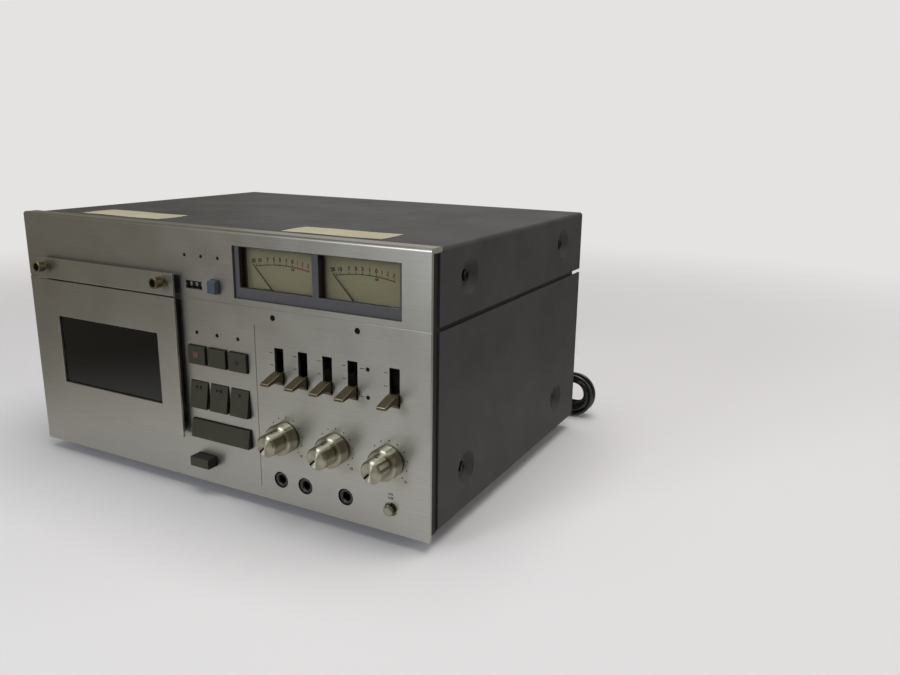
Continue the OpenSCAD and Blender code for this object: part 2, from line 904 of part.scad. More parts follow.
module counter_wheel_ones() {
    number_wheel(2);
}

module counter_wheels_upper() {
    number_wheel(0);
    number_wheel(1);
}

// A cap that leans out from top to bottom, a flange behind the panel and round stems
module key(x, z, w, h, top_proud, low_proud, stems) {
    hw = w / 2 - key_gap;
    hh = h / 2 - key_gap;
    edge = 1;
    color([0.2, 0.2, 0.17]) {
        extrude_x(x - hw, x + hw)
            polygon([
                [edge - top_proud, z + hh], [-top_proud, z + hh - edge], [-low_proud, z - hh + edge / 2],
                [edge / 2 - low_proud, z - hh], [flange_front + eps, z - hh], [flange_front + eps, z + hh]
            ]);
        block(
            x - w / 2 - flange_side, x + w / 2 + flange_side, flange_front, flange_front + flange_t,
            z - h / 2 - flange_side, z + h / 2 + flange_side
        );
        for (dx = stems)
            rod_y(stem_d / 2, x + dx, z, flange_front + flange_t - eps, stem_end);
    }
}

module row1_key(i) {
    key(key_x(i), row1_z, key_w, row1_h, 2.7, 2.7, [0]);
}

module row2_key(i) {
    key(key_x(i), row2_z, key_w, row2_h, 1, 4.5, [0]);
}

module record_key() {
    row1_key(0);
}

module mute_key() {
    row1_key(1);
}

module pause_key() {
    row1_key(2);
}

module rewind_key() {
    row2_key(0);
}

module forward_key() {
    row2_key(1);
}

module play_key() {
    row2_key(2);
}

module stop_key() {
    key(key_x(1), stop_z, stop_w, stop_h, 2.5, 5, [-key_pitch, key_pitch]);
}

module eject_button() {
    w = eject_w + 2 * key_gap;
    h = eject_h + 2 * key_gap;
    key(eject_x, eject_z, w, h, eject_proud, eject_proud, [0]);
}

module counter_reset() {
    w = reset_w + 2 * key_gap;
    h = reset_h + 2 * key_gap;
    key(reset_x, reset_z, w, h, reset_proud, reset_proud, [0]);
}

// Round turned button with a flange behind the panel
module power_button() {
    r = power_d / 2;
    color([0.7, 0.69, 0.65])
        turned_y(power_x, power_z, [
            [0, -power_proud], [r - 1, -power_proud], [r, 1 - power_proud], [r, flange_front],
            [r + 2.5, flange_front], [r + 2.5, flange_front + flange_t], [stem_d / 2, flange_front + flange_t],
            [stem_d / 2, stem_end], [0, stem_end]
        ]);
}

// A cranked lever: a wedge-shaped paddle outside, a flat shank through the slot and a boss with its pin
module lever(i) {
    x = lever_x(i);
    top = lever_low + lever_root_h;
    tip = lever_low + 3.2;
    py = lever_pivot_y;
    color([0.36, 0.32, 0.25])
        translate([0, 0, lever_z]) {
            extrude_x(x - lever_w / 2, x + lever_w / 2)
                polygon([
                    [-1.2, top], [-1.2, lever_low], [-lever_proud, tip], [-lever_proud, tip + lever_tip_h],
                    [-4, top]
                ]);
            extrude_x(x - 2.5, x + 2.5)
                polygon([
                    [-1.3, top - 2], [-1.3, lever_low + 2], [8, lever_low + 4],
                    [py, -2.5], [py, 2.5], [8, top - 2]
                ]);
            rod_x(lever_boss_r, x - 3.2, x + 3.2, py, 0);
            rod_x(lever_pin_d / 2, x - 3.2 - slip - cheek_t, x + 3.2 + slip + cheek_t, py, 0);
        }
}

module lever_1() {
    lever(0);
}

module lever_2() {
    lever(1);
}

module lever_3() {
    lever(2);
}

module lever_4() {
    lever(3);
}

module lever_5() {
    lever(4);
}

// Upright board with the lever frames, potentiometers, key switches and the power switch on its front
module control_board() {
    x0 = key_x(0) - 14;
    x1 = lever_x(4) + 8;
    color([0.1, 0.2, 0.12]) {
        block(x0, x1, board_front, board_front + board_t, base_top, lever_z + 30);
        for (i = [0 : 4])
            lever_frame(i);
        for (i = [0 : 2])
            turned_y(knob_x(i), knob_z, [
                [tube_r + run, frame_front - 2], [bush_r, frame_front - 2], [bush_r, cover_start + 4],
                [pot_d / 2, cover_start + 4], [pot_d / 2, board_front + eps], [0, board_front + eps],
                [0, cover_start + 17], [tube_r + run, cover_start + 17]
            ]);
        for (p = key_stems())
            well(p[0], p[1], 7, 7, switch_front, board_front + eps, 0);
        well(power_x, power_z, 16, 16, stem_end + 4.6, board_front + eps, 0);
    }
}

// Two cheeks with the pin holes of one lever
module lever_frame(i) {
    x = lever_x(i);
    in = 3.2 + slip;
    difference() {
        both_cheeks(x, in);
        rod_x(lever_pin_d / 2 + run, x - in - cheek_t - 1, x + in + cheek_t + 1, lever_pivot_y, lever_z);
    }
}

module both_cheeks(x, in) {
    for (x0 = [x - in - cheek_t, x + in])
        block(x0, x0 + cheek_t, lever_pivot_y - 5, board_front + eps, lever_z - 8, lever_z + 8);
}

// Turned ring with a tube shaft for the centre knob's shaft
module knob_ring(i) {
    r = ring_d / 2;
    gap = 0.8;
    color([0.75, 0.73, 0.68])
        turned_y(knob_x(i), knob_z, [
            [shaft_d / 2 + run, -ring_l], [r - 1.4, -ring_l], [r, 1 - ring_l], [r, -gap - 0.5],
            [r - 0.5, -gap], [tube_r, -gap], [tube_r, cover_start + 15], [shaft_d / 2 + run, cover_start + 15]
        ]);
}

module knob_ring_1() {
    knob_ring(0);
}

module knob_ring_2() {
    knob_ring(1);
}

module knob_ring_3() {
    knob_ring(2);
}

// Turned centre knob with a chamfered face, a pointer slot at its lower left and a grub screw hole
module knob_centre(i) {
    r = centre_d / 2;
    y0 = -ring_l - 0.3;
    y1 = y0 - centre_l;
    color([0.78, 0.76, 0.71])
        difference() {
            turned_y(knob_x(i), knob_z, [
                [0, y1], [r - 1.6, y1], [r, y1 + 1.2], [r, y0 - 0.5], [r - 0.5, y0], [shaft_d / 2, y0],
                [shaft_d / 2, cover_start + 16], [0, cover_start + 16]
            ]);
            translate([knob_x(i), y1, knob_z])
                rotate([0, -135, 0])
                    block(-0.9, 0.9, -1, 1.1, 1.5, r + 1);
            translate([knob_x(i), y0 - 5, knob_z + r - 4])
                cylinder(d = 2.6, h = 6);
        }
}

module knob_centre_1() {
    knob_centre(0);
}

module knob_centre_2() {
    knob_centre(1);
}

module knob_centre_3() {
    knob_centre(2);
}

// Jacks: a bush with the plug's bore, a chamber behind it and a shoulder against the front frame
module jack_sockets() {
    b = jack_bore_d / 2;
    s = jack_hole_d / 2;
    color([0.3, 0.3, 0.3])
        for (x = jack_x)
            turned_y(x, jack_z, [
                [b, jack_mouth], [s - 2.2, jack_mouth], [s - 2.2, jack_mouth + 1.6],
                [s + 1.2, jack_mouth + 1.6], [s + 1.2, jack_bore_end], [s - 1, jack_bore_end],
                [s - 1, jack_back], [0, jack_back], [0, jack_back - 2], [b + 1, jack_back - 2],
                [b + 1, jack_bore_end], [b, jack_bore_end]
            ]);
}

// Section of a plate in front of the panel with rounded front edges, from z0 to z1
module plate_section(z0, z1) {
    translate([plate_r - door_proud, z0])
        square([plate_t - plate_r, z1 - z0]);
    translate([-door_proud, z0 + plate_r])
        square([plate_t, z1 - z0 - 2 * plate_r]);
    for (z = [z0 + plate_r, z1 - plate_r])
        translate([plate_r - door_proud, z])
            circle(plate_r);
}

module door_plate() {
    color([0.74, 0.73, 0.69])
        difference() {
            extrude_x(door_x0, door_x1)
                plate_section(door_low, door_top);
            window_block(-door_proud - 1, 0, 0);
        }
}

module window_block(y0, y1, g) {
    block(
        door_x - window_w / 2 - g, door_x + window_w / 2 + g, y0, y1,
        window_low - g, window_low + window_h + g
    );
}

// Black moulding behind the door plate: rim, seat of the window pane, cassette carrier and hinge pins
module door_frame() {
    y0 = plate_back + seat;
    rim_low = hinge_z - 0.8;
    notch_z = hinge_z + 12;
    x0 = door_x - carrier_half;
    x1 = door_x + carrier_half;
    color([0.05, 0.05, 0.05]) {
        difference() {
            block(door_x0 + rim_in, door_x1 - rim_in, y0, rim_back, rim_low, door_top - rim_in);
            window_block(y0 - 1, rim_back + 1, -2);
            window_block(y0 - 1, y0 + pane_t + seat, 3);
            block(door_x0, x0 - 0.1, y0 - 1, rim_back + 1, rim_low - 1, notch_z);
            block(x1 + 0.1, door_x1, y0 - 1, rim_back + 1, rim_low - 1, notch_z);
        }
        block(x0, x1, rim_back - eps, carrier_back, shelf_z - 2, shelf_z);
        for (side = [[x0, 1], [x1, -1]])
            carrier_side(side[0], side[1]);
        for (x = [x0, x1])
            rod_x(hinge_pin_d / 2, x - ear_gap - 2.8, x + ear_gap + 2.8, hinge_y, hinge_z);
        hinge_lug(x0, 1);
        hinge_lug(x1, -1);
    }
}

// One side of the carrier: a wall and a lip behind the cassette
module carrier_side(x, dir) {
    wall = dir * carrier_wall;
    lip = dir * lip_w;
    block(min(x, x + wall), max(x, x + wall), rim_back - eps, carrier_back, shelf_z - 2, carrier_top);
    block(min(x, x + lip), max(x, x + lip), pocket_back, carrier_back, shelf_z - 2, carrier_top);
}

// The lug that carries a hinge pin below the shelf
module hinge_lug(x, dir) {
    w = dir * 4;
    block(min(x, x + w), max(x, x + w), plate_back + 0.5, 1.5, hinge_z - 2, shelf_z);
}

// Tinted pane in the door frame's seat
module door_window() {
    color([0.05, 0.05, 0.06, 0.6])
        window_block(plate_back + seat, plate_back + seat + pane_t, 3 - seat);
}

module head_cover() {
    color([0.74, 0.73, 0.69])
        difference() {
            extrude_x(door_x0, door_x1)
                plate_section(strip_low, strip_top);
            for (x = [-thumb_x, thumb_x])
                rod_y(thumb_shank_r + slip, door_x + x, thumb_z, -door_proud - 1, 0);
        }
}

// Knurled head with a hollow end and a plain shank
module thumbscrew(x) {
    r = thumb_d / 2;
    y1 = -door_proud - 0.05;
    y0 = y1 - thumb_l;
    color([0.55, 0.47, 0.27])
        turned_y(x, thumb_z, [
            [0, y0 + 4], [r - 2, y0 + 4], [r - 1.6, y0], [r - 0.6, y0], [r, y0 + 0.6], [r, y1 - 2.5],
            [r - 1.2, y1 - 2.5], [r - 1.2, y1], [thumb_shank_r, y1], [thumb_shank_r, 6], [0, 6]
        ]);
}

module thumbscrew_left() {
    thumbscrew(door_x - thumb_x);
}

module thumbscrew_right() {
    thumbscrew(door_x + thumb_x);
}

// Black liner around the carrier, with the seat of the head cover and the ears of the door's hinge
module cassette_well() {
    color([0.04, 0.04, 0.04]) {
        difference() {
            block(
                well_x0 - well_wall, well_x1 + well_wall, panel_t + seat, well_back,
                well_low - well_wall, well_top + well_wall
            );
            block(well_x0, well_x1, panel_t - 1, well_back + 1, well_low, well_top);
        }
        head_seat();
        ear(door_x - carrier_half - ear_gap, well_x0);
        ear(door_x + carrier_half + ear_gap, well_x1);
    }
}

// Frame behind the head cover, open in the middle for the heads, with the holes of the thumbscrews
module head_seat() {
    difference() {
        union() {
            block(
                door_x0 + rim_in, door_x1 - rim_in, plate_back + 0.05, -seat,
                strip_low + rim_in, strip_top - rim_in
            );
            block(
                well_x0 + 0.4, well_x1 - 0.4, -0.2, panel_t + 0.2,
                strip_low + rim_in + 1, open_top - 0.2
            );
            block(well_x0 - eps, well_x1 + eps, panel_t + seat, 9, strip_low + rim_in + 1, well_top + eps);
        }
        block(
            door_x - seat_open, door_x + seat_open, plate_back - 1, 10, strip_low + rim_in + 2, open_top - 2
        );
        block(door_x - seat_open, door_x + seat_open, -0.15, 10, strip_low, well_top - eps);
        for (x = [-thumb_x, thumb_x])
            rod_y(thumb_shank_r + run, door_x + x, thumb_z, plate_back - 1, 10);
    }
}

// An arm that reaches forward through the panel to a hinge pin
module ear(x, wall_x) {
    y = hinge_y;
    z = hinge_z;
    difference() {
        extrude_x(min(x, wall_x), max(x, wall_x)) {
            translate([y, z])
                circle(ear_r);
            polygon([
                [y - ear_r, z], [y - ear_r, z + 4], [4, z + 7], [well_back, z + 7], [well_back, z - ear_r],
                [y, z - ear_r]
            ]);
        }
        rod_x(hinge_pin_d / 2 + run, min(x, wall_x) - 1, max(x, wall_x) + 1, y, z);
        block(wall_x - 0.6, wall_x + 0.6, y - 2 * ear_r, panel_t + 0.2, z - 8, z + 12);
    }
}

// Plate behind the well with the bearings and the spacers that hold it to the front frame
module deck_plate() {
    x0 = well_x0 - well_wall - deck_margin;
    x1 = well_x1 + well_wall + deck_margin;
    z0 = well_low - well_wall - deck_margin;
    z1 = well_top + well_wall + deck_margin + 10;
    color([0.55, 0.55, 0.53])
        difference() {
            union() {
                block(x0, x1, deck_front, deck_back, z0, z1);
                for (x = [x0 + 3, x1 - 3], z = [z0 + 3, z1 - 3])
                    rod_y(2.6, x, z, frame_back, deck_front + eps);
                for (x = capstan_x)
                    rod_y(capstan_d / 2 + 3, x, capstan_z, deck_front - 6, deck_front + eps);
            }
            for (x = reel_x)
                rod_y(reel_shaft_d / 2 + slip, x, reel_z, deck_front - 1, deck_back + 1);
            for (x = capstan_x)
                rod_y(capstan_d / 2 + run, x, capstan_z, deck_front - 8, deck_back + 1);
        }
}

// Flanged hub with three fins that drive a reel
module reel_spindle(x) {
    r = reel_hub_d / 2;
    color([0.85, 0.85, 0.83]) {
        turned_y(x, reel_z, [
            [0, spindle_tip], [r - 3.5, spindle_tip], [r - 1.5, spindle_tip + 3], [r - 1.5, deck_front - 3.5],
            [r + 5, deck_front - 3.5], [r + 5, deck_front - 0.5], [reel_shaft_d / 2, deck_front - 0.5],
            [reel_shaft_d / 2, deck_back + 6], [0, deck_back + 6]
        ]);
        translate([x, 0, reel_z])
            for (a = [0, 120, 240])
                rotate([0, a, 0])
                    block(-0.8, 0.8, spindle_tip + 4, deck_front - 3, r - 3, r + 0.5);
    }
}

module reel_spindle_left() {
    reel_spindle(reel_x[0]);
}

module reel_spindle_right() {
    reel_spindle(reel_x[1]);
}

// Capstan with its flywheel behind the deck plate
module capstan(x) {
    r = flywheel_d / 2;
    s = capstan_d / 2;
    y0 = deck_back + 1;
    y1 = y0 + flywheel_t;
    color([0.7, 0.7, 0.68])
        turned_y(x, capstan_z, [
            [0, capstan_tip], [s - 0.3, capstan_tip], [s, capstan_tip + 0.3], [s, deck_back + 0.5],
            [8, deck_back + 0.5], [8, y0 + 3], [r - 9, y0 + 3], [r - 9, y0], [r - 0.5, y0], [r, y0 + 0.5],
            [r, y1 - 0.5], [r - 0.5, y1], [0, y1]
        ]);
}

module capstan_left() {
    capstan(capstan_x[0]);
}

module capstan_right() {
    capstan(capstan_x[1]);
}

// Two reel motors and the capstan motor, against the deck plate's back
module drive_motors() {
    bore_r = reel_shaft_d / 2 + run;
    r = reel_motor_d / 2;
    cap_r = reel_shaft_d / 2 + 6;
    reel_end = deck_back + reel_motor_l;
    capstan_end = deck_back + capstan_motor_l;
    color([0.35, 0.36, 0.37]) {
        for (x = reel_x)
            turned_y(x, reel_z, [
                [bore_r, deck_back], [r, deck_back], [r, reel_end], [cap_r, reel_end],
                [cap_r, reel_end + motor_cap_l], [0, reel_end + motor_cap_l], [0, deck_back + 8],
                [bore_r, deck_back + 8]
            ]);
        turned_y(door_x, capstan_motor_z, [
            [0, deck_back], [capstan_motor_d / 2, deck_back], [capstan_motor_d / 2, capstan_end],
            [cap_r, capstan_end], [cap_r, capstan_end + motor_cap_l], [0, capstan_end + motor_cap_l]
        ]);
    }
}

// Base bar on the deck plate with three heads below it, each with a rounded face
module head_block() {
    z1 = well_top - 0.5;
    z0 = z1 - 4.5;
    color([0.6, 0.6, 0.58]) {
        block(door_x - head_bar_w / 2, door_x + head_bar_w / 2, 6, deck_front, z0, z1);
        for (dx = [-head_pitch, 0, head_pitch])
            extrude_y(5, 18)
                union() {
                    translate([door_x + dx - head_r, z0 - 7])
                        square([2 * head_r, 7 + eps]);
                    translate([door_x + dx, z0 - 7])
                        circle(head_r);
                }
    }
}

// Mains transformer: a laminated core with its coil and a foot plate
module transformer() {
    color([0.3, 0.27, 0.22])
        translate([core_x, core_y, base_top]) {
            upright(foot_plate_w, core_d, 0, foot_plate_t);
            upright(core_w, core_d, foot_plate_t - 1, core_h);
            upright(coil_w, coil_d, (core_h - coil_h) / 2, (core_h + coil_h) / 2);
        }
}

// A block of width w and depth d around the upright axis
module upright(w, d, z0, z1) {
    block(-w / 2, w / 2, -d / 2, d / 2, z0, z1);
}

// Main circuit board on four pillars, with its larger capacitors
module main_board() {
    z0 = base_top + main_rise;
    color([0.12, 0.22, 0.12]) {
        block(main_x0, main_x1, main_y0, main_y1, z0, z0 + board_t);
        for (x = [main_x0 + pillar_in, main_x1 - pillar_in], y = [main_y0 + pillar_in, main_y1 - pillar_in])
            translate([x, y, base_top])
                cylinder(d = pillar_d, h = main_rise + eps);
        for (x = [main_x0 + cap_pitch : cap_pitch : main_x1 - cap_pitch])
            translate([x, main_y1 - cap_pitch, z0 + 1])
                cylinder(d = cap_d, h = cap_h);
    }
}

// Four collars with centre holes on a plate against the rear wall
module line_sockets() {
    p = line_pitch / 2;
    y0 = wall_back;
    color([0.08, 0.08, 0.08])
        difference() {
            union() {
                block(line_x - p - 9, line_x + p + 9, y0, y0 + 1.5, line_z - p - 9, line_z + p + 9);
                for (x = [-p, p], z = [-p, p])
                    rod_y(line_d / 2, line_x + x, line_z + z, y0 - 6, y0 + 1.5 + line_l);
            }
            for (x = [-p, p], z = [-p, p])
                rod_y(1.6, line_x + x, line_z + z, y0 + 2, y0 + 3 + line_l);
        }
}

function gland_neck_r() = cord_r + 3.6;

// Tapered strain relief through the rear wall
module cord_gland() {
    n = gland_neck_r();
    color([0.05, 0.05, 0.05])
        turned_y(gland_x, floor_z + gland_h, [
            [0, wall_front - 3], [n, wall_front - 3], [n, wall_back], [n + 2.5, wall_back],
            [n + 2.5, wall_back + 2], [n, wall_back + 3], [cord_r + 1, gland_end], [0, gland_end]
        ]);
}

// Path of the hank at turn t, with heights from the floor: round ends, runs drawn in at the waist
function hank_r(t) =
    let (u = max(t, 0) / hank_turns, k = floor(u), f = u - k, out = hank_turns * hank_step)
    t < 0 ? hank_out_r - t * hank_step
    : k % 2 == 0 ? hank_out_r - f * out : hank_fold_r + f * out;

function smooth(s) = s * s * (3 - 2 * s);

// Layer number at turn t: it climbs along the run just before the spiral reverses
function hank_layer(t) =
    let (k = floor(t / hank_turns), next = (k + 1) * hank_turns, s = (t - next) * 6 + 1)
    t < 0 ? 0 : k + (s > 0 && k < hank_layers - 1 ? smooth(s) : 0);

function hank_point(t) =
    let (
        f = t - floor(t), r = hank_r(t), half = hank_run / 2,
        s = f < 1 / 2 ? (f - 1 / 3) * 6 : (f - 5 / 6) * 6,
        on_run = (f > 1 / 3 && f < 1 / 2) || f > 5 / 6,
        draw = on_run ? hank_waist * pow(sin(180 * s), 2) : 0,
        y = hank_y + hank_layer(t) * hank_step
    )
    f <= 1 / 3 ? [hank_x + half + r * cos(540 * f - 90), y, hank_h + r * sin(540 * f - 90)]
    : f < 1 / 2 ? [hank_x + half - s * hank_run, y, hank_h + r - draw]
    : f <= 5 / 6 ? [hank_x - half + r * cos(540 * f - 180), y, hank_h + r * sin(540 * f - 180)]
    : [hank_x - half + s * hank_run, y, hank_h - r + draw];

hank_count = round((hank_t1 - hank_t0) * rings_per_loop);
hank_loop = [for (i = [0 : hank_count]) hank_point(hank_t0 + i / rings_per_loop)];
hank_start = hank_loop[0] - [cord_d, 0, 0];
hank_end_dir = [-sin(540 * hank_t1), 0, cos(540 * hank_t1)];
hank_end = hank_loop[hank_count] + cord_d * hank_end_dir;
tail_start = hank_end + cord_d * hank_end_dir;
hank_path = concat([hank_start], hank_loop, [hank_end]);

// Least gap between two strands of the hank, on points at least half a loop apart
hank_gap = min([
    for (i = [0 : 1 : hank_count - 12], j = [i + 12 : 1 : hank_count]) norm(hank_loop[i] - hank_loop[j])
]) - cord_d;
echo(hank_least_gap = hank_gap);

lead_path = concat([[gland_x, gland_end, gland_h]], lead_points, [hank_start]);
tail_path = concat([hank_end, tail_start], tail_points, [[plug_end, tail_y, plug_h / 2]]);

function path_length(p) = len(p) < 2 ? 0 : sum_steps(p, len(p) - 1);
function sum_steps(p, i) = i == 0 ? 0 : norm(p[i] - p[i - 1]) + sum_steps(p, i - 1);
echo(cord_length = path_length(lead_path) + path_length(hank_path) + path_length(tail_path));

function unit(v) = v / norm(v);

// Direction of a path at point i: the first and last steps keep their own direction
function path_dir(p, i) =
    let (n = len(p) - 1)
    i == 0 ? unit(p[1] - p[0])
    : i == n ? unit(p[n] - p[n - 1])
    : unit(unit(p[i + 1] - p[i]) + unit(p[i] - p[i - 1]));

// A tube along a path: rings of corners square to the path, joined by triangles
module tube(p, r, sides, up) {
    n = len(p) - 1;
    rings = [
        for (i = [0 : n])
            let (d = path_dir(p, i), u = unit(cross(up, d)), v = cross(d, u))
            for (k = [0 : sides - 1]) p[i] + r * (cos(360 * k / sides) * u + sin(360 * k / sides) * v)
    ];
    walls = [
        for (i = [0 : n - 1], k = [0 : sides - 1])
            let (a = i * sides + k, b = i * sides + (k + 1) % sides)
            each [[a, a + sides, b], [b, a + sides, b + sides]]
    ];
    first_cap = [for (k = [1 : sides - 2]) [0, k, k + 1]];
    last_cap = [for (k = [1 : sides - 2]) [n * sides, n * sides + k + 1, n * sides + k]];
    translate([0, 0, floor_z])
        polyhedron(rings, concat(walls, first_cap, last_cap));
}

// Free stretches of the cord: from the gland to the hank, and from the hank to the plug
module mains_cord() {
    color([0.05, 0.05, 0.05]) {
        tube(lead_path, cord_r, 8, [1, 1, 1]);
        tube(tail_path, cord_r, 8, [0, 1, 0]);
    }
}

// The rest of the cord, folded into an upright hank
module cord_hank() {
    color([0.05, 0.05, 0.05])
        tube(hank_path, cord_r, 6, [0, 1, 0]);
}

// Two-blade plug, lying on the floor beside the hank
module mains_plug() {
    y = tail_y;
    color([0.05, 0.05, 0.05])
        translate([0, 0, floor_z]) {
            translate([plug_end - plug_l, y, 0])
                rotate([90, 0, 90])
                    linear_extrude(plug_l)
                        round_rect(-plug_w / 2, plug_w / 2, 0, plug_h, 5);
            for (dy = [-6.35, 6.35])
                block(
                    plug_end - plug_l - blade_l, plug_end - plug_l + 1, y + dy - 0.75, y + dy + 0.75,
                    plug_h / 2 - 3.1, plug_h / 2 + 3.1
                );
        }
}

placed() front_panel();
placed() front_frame();
placed() chassis();
placed() top_cover();
placed() bottom_cover();
placed() cover_screws();
placed() feet();
placed() meter_bezel();
placed() meter_movements();
placed() meter_glass();
placed() needle_left();
placed() needle_right();
placed() indicator_lamps();
placed() counter_case();
placed() counter_wheel_ones();
placed() counter_wheels_upper();
placed() counter_reset();
placed() control_board();
placed() record_key();
placed() mute_key();
placed() pause_key();
placed() rewind_key();
placed() forward_key();
placed() play_key();
placed() stop_key();
placed() eject_button();
placed() power_button();
placed() lever_1();
placed() lever_2();
placed() lever_3();
placed() lever_4();
placed() lever_5();
placed() knob_ring_1();
placed() knob_ring_2();
placed() knob_ring_3();
placed() knob_centre_1();
placed() knob_centre_2();
placed() knob_centre_3();
placed() jack_sockets();
placed() door_plate();
placed() door_frame();
placed() door_window();
placed() head_cover();
placed() thumbscrew_left();
placed() thumbscrew_right();
placed() cassette_well();
placed() deck_plate();
placed() reel_spindle_left();
placed() reel_spindle_right();
placed() capstan_left();
placed() capstan_right();
placed() drive_motors();
placed() head_block();
placed() transformer();
placed() main_board();
placed() line_sockets();
placed() cord_gland();
placed() mains_cord();
placed() cord_hank();
placed() mains_plug();
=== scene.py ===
# %% [markdown]
# # A front-loading tape deck
#
# The deck's solids arrive packed in one frame, in metres: +X to the right of the front, +Y to the back,
# +Z up, and the origin on the floor under the deck's middle. This lesson dresses them. Solids whose
# shape is right keep it and get a finish. Keys, plates and levers get copies with rounded edges, because
# real edges catch the light. Prints, cord and small parts are modelled here.

# %% Load the frame
import json
import math

import bmesh
import bpy
from mathutils import Matrix, Vector

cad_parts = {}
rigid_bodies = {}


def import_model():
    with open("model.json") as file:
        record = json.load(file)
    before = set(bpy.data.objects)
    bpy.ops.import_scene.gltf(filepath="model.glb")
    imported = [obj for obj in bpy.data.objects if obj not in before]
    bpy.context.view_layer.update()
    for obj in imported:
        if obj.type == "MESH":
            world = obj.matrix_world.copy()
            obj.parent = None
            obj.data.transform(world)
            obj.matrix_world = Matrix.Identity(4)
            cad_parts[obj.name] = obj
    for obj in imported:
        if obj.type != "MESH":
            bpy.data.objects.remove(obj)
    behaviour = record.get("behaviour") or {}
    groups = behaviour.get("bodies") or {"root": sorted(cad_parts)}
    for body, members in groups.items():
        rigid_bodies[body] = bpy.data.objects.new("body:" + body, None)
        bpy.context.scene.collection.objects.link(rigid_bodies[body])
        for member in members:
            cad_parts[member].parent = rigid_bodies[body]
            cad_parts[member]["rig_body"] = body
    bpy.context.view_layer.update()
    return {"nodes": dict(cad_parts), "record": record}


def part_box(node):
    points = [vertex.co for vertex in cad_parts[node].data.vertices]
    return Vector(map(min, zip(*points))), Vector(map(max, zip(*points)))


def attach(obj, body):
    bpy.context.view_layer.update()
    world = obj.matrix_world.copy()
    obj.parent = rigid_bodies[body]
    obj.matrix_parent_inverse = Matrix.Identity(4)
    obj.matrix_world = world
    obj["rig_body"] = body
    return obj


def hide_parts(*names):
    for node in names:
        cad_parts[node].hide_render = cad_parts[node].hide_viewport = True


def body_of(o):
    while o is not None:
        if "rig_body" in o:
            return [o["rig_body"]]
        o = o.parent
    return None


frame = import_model()
nodes = frame["nodes"]
slots = {part["node"]: part["material_slot"] for part in frame["record"]["subparts"]}
MM = 0.001

# %% [markdown]
# Sizes on a front panel are read from the panel itself: x from its middle, y back from its face, z up from
# its bottom edge, in millimetres. Small functions put an object in the scene, turn such a place into the
# frame's metres, do the same for things on the floor, and ask a node for its middle.

# %% Places on the panel and on the floor
panel_low, panel_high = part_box("front_panel")


def new_object(name, data):
    """An object in the scene, at the origin."""
    made = bpy.data.objects.new(name, data)
    bpy.context.scene.collection.objects.link(made)
    return made


def place(x, y, z):
    """A point given in millimetres from the middle of the panel's face and its bottom edge."""
    return Vector((x * MM, panel_low.y + y * MM, panel_low.z + z * MM))


def on_floor(x, y, z):
    """The same, but with the height counted from the floor."""
    return Vector((x * MM, panel_low.y + y * MM, z * MM))


def middle(node_name):
    """Middle of a node, as x and z in millimetres on the panel."""
    low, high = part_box(node_name)
    return ((low.x + high.x) / 2 / MM, ((low.z + high.z) / 2 - panel_low.z) / MM)


print("panel", [round(v / MM, 1) for v in panel_high - panel_low], "mm")

# %% [markdown]
# The camera stands to the right of the deck and a little above it, with a wide lens that makes the near
# corner large. A constraint could aim it, but its place and angles were fitted to the corners of the panel
# and of the covers, so they are written down, and the render lies over the photograph.

# %% Camera
CAMERA_AT = (496.37, -488.0, 310.0)
CAMERA_AZIMUTH = 27.912
CAMERA_ELEVATION = 14.595
CAMERA_ROLL = 0.814
CAMERA_LENS = 32.18
SENSOR_W = 36.0
NEAREST = 0.01

camera = new_object("camera", bpy.data.cameras.new("camera"))
camera.data.lens = CAMERA_LENS
camera.data.sensor_width = SENSOR_W
camera.data.sensor_fit = "HORIZONTAL"
camera.data.clip_start = NEAREST
camera.matrix_world = (
    Matrix.Translation(place(*CAMERA_AT))
    @ Matrix.Rotation(math.radians(CAMERA_AZIMUTH), 4, "Z")
    @ Matrix.Rotation(math.radians(90 - CAMERA_ELEVATION), 4, "X")
    @ Matrix.Rotation(math.radians(CAMERA_ROLL), 4, "Z")
)
bpy.context.scene.camera = camera
print("camera at", [round(v, 3) for v in camera.location])

# %% [markdown]
# The mains cord leaves the rear wall through a tapered relief, bends down to the floor and is folded into
# an upright hank behind the right rear corner, where its loops show. It is one curve: the lead and the tail
# are listed points, and the hank is a formula, in turns, which keeps its length and its gaps exact.
# A turn has six parts: two for each half circle, or fold, and one for each run. The spiral goes in and out
# in layers, and the runs are drawn in at the waist.

# %% Route of the mains cord
CORD_D = 4.2
HANK_RUN = 66.0
HANK_TURNS = 2
HANK_LAYERS = 4
HANK_FOLD_R = 13.0
HANK_STEP = 5.1
HANK_WAIST = 4.0
FOLD_SWEEP = 540
LEFT_OFF = 0.375
HANK_X = 177.0
HANK_Y = 354.0
HANK_OUT_R = HANK_FOLD_R + HANK_TURNS * HANK_STEP
HANK_H = HANK_OUT_R + HANK_STEP / 6 + CORD_D / 2
RINGS_PER_LOOP = 24
PLUG_END = 94.0
PLUG_H = 15.0
GLAND_END = 326.0
TAIL_Y = HANK_Y + (HANK_LAYERS - 1) * HANK_STEP

lead_points = [
    (100, GLAND_END, 42), (100, 331, 42), (100, 336, 42), (100, 341, 41.3), (100, 345.5, 39.2),
    (100, 349.5, 35.8), (100, 352.3, 31.6), (100, 353.7, 27), (100.3, 354, 22), (101.8, 354, 16.8),
    (104.8, 354, 12), (109, 354, 8), (114.5, 354, 5), (121, 354, 3), (128, 354, 2.2), (136, 354, 2.1),
]
tail_points = [
    (119.5, TAIL_Y, 22.6), (116.7, TAIL_Y, 17.6), (112.8, TAIL_Y, 13.4), (108, TAIL_Y, 10.2),
    (102.6, TAIL_Y, 8.2), (96.9, TAIL_Y, 7.5), (PLUG_END, TAIL_Y, PLUG_H / 2),
]


